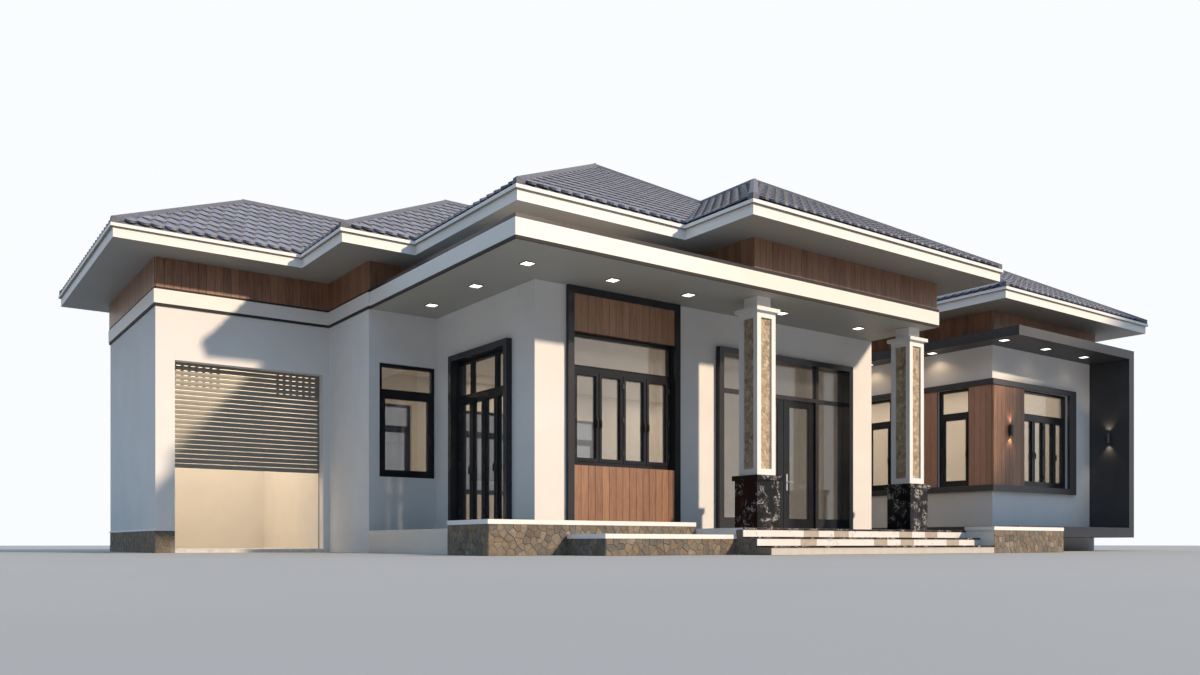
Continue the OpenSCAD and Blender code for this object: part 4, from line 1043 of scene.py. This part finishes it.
slat_h = (SHUT_TOP - SHUT_Z) / SLATS
web_back = SHUT_Y + SHUT_T - LAP
pile = Pile()
for k in range(SLATS):
    z0 = SHUT_Z + k * slat_h
    profile = slat_profile(z0, z0 + slat_h - (SLIT if k < SLATS - 1 else 0.0))
    n = len(profile)
    faces = [tuple(range(n)), tuple(n + i for i in reversed(range(n)))]
    faces += [(i, n + i, n + (i + 1) % n, (i + 1) % n) for i in range(n)]
    pile.add([(x, y, z) for x in (SHUT_X0, SHUT_X1) for y, z in profile], faces)
for k in range(1, SLATS):
    z = SHUT_Z + k * slat_h
    webs = [SHUT_X0 + WEB_IN, SHUT_X1 - WEB_IN]
    if k >= SLATS - VENT_ROWS:
        webs += [a + i * VENT_W / VENTS for a in (SHUT_X0 + VENT_IN, SHUT_X1 - VENT_IN - VENT_W)
                 for i in range(VENTS + 1)]
    for x in webs:
        pile.box((x - WEB / 2, x + WEB / 2), (SHUT_Y + WEB_SET, web_back), (z - SLIT - LAP, z + LAP))
pile.box((SHUT_X0, SHUT_X1), (SHUT_Y + 2 * LAP, web_back), (SHUT_Z - LAP, SHUT_Z + BOTTOM_BAR))
pile.make("shutter_slats", M["shutter"], replaces=["garage_shutter"])


# Window sashes and fittings

# Width of the frame, of the bar under the upper light and of a post, and depth of the reveal
FRAME_W = 0.06
BAR_W = 0.09
SASH_W = 0.065
REVEAL = 0.05
# Gap round a sash, the width of its raised part, and how far that stands out
SASH_GAP = 0.006
SASH_RING = 0.051
SASH_OUT = 0.014
# Bead round an upper light: its lap over the frame, its width, and how far it stands out
BEAD_LAP = 0.014
BEAD_W = 0.016
BEAD_OUT = 0.008
# Places of hinges and handle up the sash, as shares, and in from its edge
HINGES_AT = (0.12, 0.5, 0.88)
HINGE_IN = 0.012
HANDLE_AT = 0.46
HANDLE_IN = 0.036
# A hinge, and a handle's plate and lever: half the width, the reach outward and the reach upward
HINGE = (0.011, (0.0, 0.030), (-0.045, 0.045))
PLATE = (0.014, (0.01, 0.026), (-0.05, 0.05))
LEVER = (0.009, (0.026, 0.048), (-0.1, 0.02))


def ring(pile, place, x0, z0, x1, z1, width, out0, out1):
    """Mitred frame round an opening, in a wall's own coordinates: along, out, up."""
    points = []
    for inset, out in ((0.0, out0), (0.0, out1), (width, out1), (width, out0)):
        for x, z in ((x0 + inset, z0 + inset), (x1 - inset, z0 + inset),
                     (x1 - inset, z1 - inset), (x0 + inset, z1 - inset)):
            points.append(place(x, out, z))
    faces = []
    for a in range(4):
        b = (a + 1) % 4
        for i in range(4):
            j = (i + 1) % 4
            faces.append((4 * a + i, 4 * a + j, 4 * b + j, 4 * b + i))
    pile.add(points, faces)


def on_wall(origin, along, out):
    """Function that puts a place along, out of and up a wall into the plan."""
    x0, y0, z0 = origin

    def place(x, o, z):
        return (x0 + along[0] * x + out[0] * o, y0 + along[1] * x + out[1] * o, z0 + z)
    return place


def fitting(pile, place, x, z, half, outward, upward):
    """Small block on a sash, round x and z."""
    corners = [place(a, b - REVEAL, z + c) for c in upward for b in outward for a in (x - half, x + half)]
    pile.add(corners, BOX_FACES)


def dress_window(sashes, fittings, place, w, h, upper, casements, shares=(1,)):
    """A raised sash with hinges and handle on each casement, and a bead round each upper light."""
    low_h = h - upper - BAR_W
    sash_w = (w - 2 * FRAME_W) / casements
    for i in range(casements):
        x0 = FRAME_W + i * sash_w
        x1 = FRAME_W + (i + 1) * sash_w
        ring(sashes, place, x0 + SASH_GAP, FRAME_W + SASH_GAP, x1 - SASH_GAP, low_h - SASH_GAP,
             SASH_RING, -REVEAL, SASH_OUT - REVEAL)
        hinge_x = x1 - HINGE_IN if i % 2 else x0 + HINGE_IN
        handle_x = x0 + HANDLE_IN if i % 2 else x1 - HANDLE_IN
        for f in HINGES_AT:
            fitting(fittings, place, hinge_x, FRAME_W + f * (low_h - FRAME_W), *HINGE)
        z = FRAME_W + HANDLE_AT * (low_h - FRAME_W)
        fitting(fittings, place, handle_x, z, *PLATE)
        fitting(fittings, place, handle_x, z, *LEVER)
    unit = (w - 2 * FRAME_W - (len(shares) - 1) * SASH_W) / sum(shares)
    x = FRAME_W
    for share in shares:
        ring(sashes, place, x - BEAD_LAP, h - upper - BEAD_LAP, x + share * unit + BEAD_LAP,
             h - FRAME_W + BEAD_LAP, BEAD_W, -REVEAL, BEAD_OUT - REVEAL)
        x += share * unit + SASH_W


# Each window: its foot's left end, the ways along and out of the wall, its width and height, its upper
# light's height, its casements, and the shares of several upper lights
UPPER = 0.50
WIDE_WIN = 1.90
HIDDEN_WIN = 1.50
LONG_WIN_AT = 2.515
WINDOWS = [
    ((0.19, SIDE_Y, 1.30), RIGHT, FRONT, 1.05, 1.945, 0.44, 1),
    ((MAIN_X, 4.054, FLOOR_Z), FRONT, LEFT, 1.754, 2.872, 0.585, 4, (1, 2, 1)),
    ((BOX_L, MAIN_Y, FLOOR_Z + LOWER_PANEL_H), RIGHT, FRONT, BOX_R - BOX_L, BOX_WIN_H, UPPER, 4),
    ((WIN_X, WING_Y, WIN_Z), RIGHT, FRONT, 1.77, WIN_H, UPPER, 4),
    ((WING_X, SIDE_WIN_END, WIN_Z), FRONT, LEFT, SIDE_WIN_W, WIN_H, UPPER, 1),
    ((WING_X, WING_Y + LONG_WIN_AT + WIDE_WIN, WIN_Z), FRONT, LEFT, WIDE_WIN, WIN_H, UPPER, 3),
]
WINDOWS += [((WING_END, y, WIN_Z), BACK, RIGHT, HIDDEN_WIN, WIN_H, UPPER, 2) for y in (2.33, 6.83)]
WINDOWS += [((x + HIDDEN_WIN, BACK_Y, WIN_Z), LEFT, BACK, HIDDEN_WIN, WIN_H, UPPER, 2)
            for x in (1.96, 4.76, 7.36, 12.96)]
sashes = Pile()
fittings = Pile()
for origin, along, out, *sizes in WINDOWS:
    dress_window(sashes, fittings, on_wall(origin, along, out), *sizes)
sashes.make("window_sashes", M["sash"], bevel=0.0025, segments=2)
fittings.make("window_fittings", M["fitting"], bevel=0.003)


# Downlight rims

LAMP_W = 0.15
RIM = 0.014
RIM_OUT = 0.010
RIM_CLEAR = 0.0005
# First lamp under the canopy, the step between lamps, and the two lamps by the entrance
LAMP_X = 0.735
LAMP_Y = 0.89
LAMP_STEP = 1.505
CANOPY_LAMPS = [(LAMP_X, LAMP_Y + i * LAMP_STEP) for i in range(3)]
CANOPY_LAMPS += [(x, LAMP_Y) for x in (LAMP_X + LAMP_STEP, LAMP_X + 2 * LAMP_STEP, 5.87, 7.88)]
# Lamps under the wing's frame: its underside, the lamp at the corner, and the steps both ways
FRAME_SLAB_Z = 4.235
CORNER_LAMP = (11.51, 0.21)
STEP_BACK = 1.68
STEP_RIGHT = 1.53
FRAME_LAMPS = [(CORNER_LAMP[0], CORNER_LAMP[1] + i * STEP_BACK) for i in range(3)]
FRAME_LAMPS += [(CORNER_LAMP[0] + i * STEP_RIGHT, CORNER_LAMP[1]) for i in (1, 2)]

half = LAMP_W / 2 + RIM
pile = Pile()
for spots, slab_z in ((CANOPY_LAMPS, SLAB_Z), (FRAME_LAMPS, FRAME_SLAB_Z)):
    for cx, cy in spots:
        ring(pile, lambda x, down, y: (cx + x, cy + y, slab_z - down),
             -half, -half, half, half, RIM - RIM_CLEAR, 0.0, RIM_OUT)
pile.make("downlight_rims", M["charcoal"])


# Floor

bpy.ops.mesh.primitive_plane_add(size=160, location=(0, 0, -0.001))
ground = bpy.context.object
ground.name = "floor"
ground.data.materials.append(speckled("pale_floor", grey(0.34), grey(0.355), 0.9, size=0.4, relief=0.0))


# World: diffuse rays see a blue fill that is brighter above, other rays a pale studio

scene = bpy.context.scene
scene.view_settings.view_transform = "Standard"
world = bpy.data.worlds.new("studio")
scene.world = world
world.use_nodes = True
world.cycles.sampling_method = "NONE"
tree = world.node_tree
fill = tree.nodes["Background"]
fill.inputs["Color"].default_value = (0.46, 0.71, 1.0, 1.0)
way = tree.nodes.new("ShaderNodeTexCoord")
split = tree.nodes.new("ShaderNodeSeparateXYZ")
rise = tree.nodes.new("ShaderNodeMapRange")
rise.interpolation_type = "SMOOTHSTEP"
for socket, value in (("From Min", 0.10), ("From Max", 0.80), ("To Min", 0.05), ("To Max", 1.06)):
    rise.inputs[socket].default_value = value
studio = tree.nodes.new("ShaderNodeBackground")
studio.inputs["Color"].default_value = (0.96, 0.98, 1.0, 1.0)
studio.inputs["Strength"].default_value = 1.0
ray = tree.nodes.new("ShaderNodeLightPath")
pick = tree.nodes.new("ShaderNodeMixShader")
link(tree, way.outputs["Generated"], split.inputs[0])
link(tree, split.outputs["Z"], rise.inputs["Value"])
link(tree, rise.outputs["Result"], fill.inputs["Strength"])
link(tree, ray.outputs["Is Diffuse Ray"], pick.inputs[0])
link(tree, studio.outputs[0], pick.inputs[1])
link(tree, fill.outputs[0], pick.inputs[2])
link(tree, pick.outputs[0], tree.nodes["World Output"].inputs["Surface"])


# Lamps

# Lean of the lamps that shine up or down, which settles their turn about Z
LEAN = 0.001


def lamp(kind, name, place, energy, colour, aim, **settings):
    data = bpy.data.lights.new(name, kind)
    data.energy = energy
    data.color = colour
    for key, value in settings.items():
        setattr(data, key, value)
    obj = bpy.data.objects.new(name, data)
    obj.location = to_frame(place)
    obj.rotation_mode = "QUATERNION"
    obj.rotation_quaternion = Vector(aim).to_track_quat("-Z", "Y")
    scene.collection.objects.link(obj)


lamp("SUN", "key", (20, -20, 20), 4.3, (1.0, 0.78, 0.57), (-0.545, 1.0, -0.605), angle=math.radians(2.5))

# Rooms with light on: the middle's X and Y, the width and depth of the lamp, and its power
ROOM_LAMP_Z = 4.1
ROOMS = ((6.2, 8.9, 3.4, 2.6, 100), (2.6, 4.4, 1.6, 3.6, 22), (13.8, 5.0, 3.0, 7.0, 215),
         (0.8, 7.8, 1.0, 4.5, 70), (-1.5, 8.8, 2.2, 3.0, 105), (10.4, 8.6, 2.0, 3.0, 60))
for i, (x, y, w, d, power) in enumerate(ROOMS):
    lamp("AREA", f"room_{i}", (x, y, ROOM_LAMP_Z), power, (1.0, 0.78, 0.55), (0, LEAN, -1),
         shape="RECTANGLE", size=w, size_y=d)

FRAME_LAMP_Z = 4.22
FRAME_LAMP_POWER = (4, 10, 10, 3, 3)
for (x, y), power in zip(FRAME_LAMPS, FRAME_LAMP_POWER):
    lamp("SPOT", "downlight", (x, y, FRAME_LAMP_Z), power, (1.0, 0.72, 0.45), (0, LEAN, -1),
         spot_size=2.4, spot_blend=0.6, shadow_soft_size=0.05)

WALL_LAMPS = ((12.34, 0.551), (15.555, 0.185))
WALL_LAMP_Z = 2.517
WALL_LAMP_HALF = 0.125
for x, y in WALL_LAMPS:
    for up in (-1, 1):
        lamp("SPOT", "wall_glow", (x, y, WALL_LAMP_Z + up * WALL_LAMP_HALF), 9, (1.0, 0.74, 0.50),
             (0, LEAN, up), spot_size=1.7, spot_blend=0.9, shadow_soft_size=0.02)


# Card that shades part of the wing: it stands out of the picture and only casts a shadow

CARD_Y = -12.0
CARD_OUTLINE = [(17.4, 7.2), (23.4, 7.2), (23.4, 13.2), (22.2, 12.6), (20.9, 11.7), (19.3, 11.2),
                (19.0, 10.5), (18.9, 9.3), (17.4, 8.3)]
card_mesh = bpy.data.meshes.new("card")
card_points = [to_frame((x, CARD_Y, z)) for x, z in CARD_OUTLINE]
card_mesh.from_pydata(card_points, [], [tuple(range(len(card_points)))])
card_mesh.materials.append(M["fitting"])
card = bpy.data.objects.new("card", card_mesh)
scene.collection.objects.link(card)
card.visible_camera = False
card.visible_glossy = False
card.visible_diffuse = False
card.visible_transmission = False


# Camera

view = bpy.data.cameras.new("view")
view.sensor_width = 36.0
view.lens = 29.51
view.shift_y = 0.1719
camera = bpy.data.objects.new("view", view)
camera.location = (-13.028, -15.896, 0.153)
camera.rotation_euler = (math.radians(90), 0, math.radians(-35.966))
scene.collection.objects.link(camera)
scene.camera = camera

bpy.context.view_layer.update()
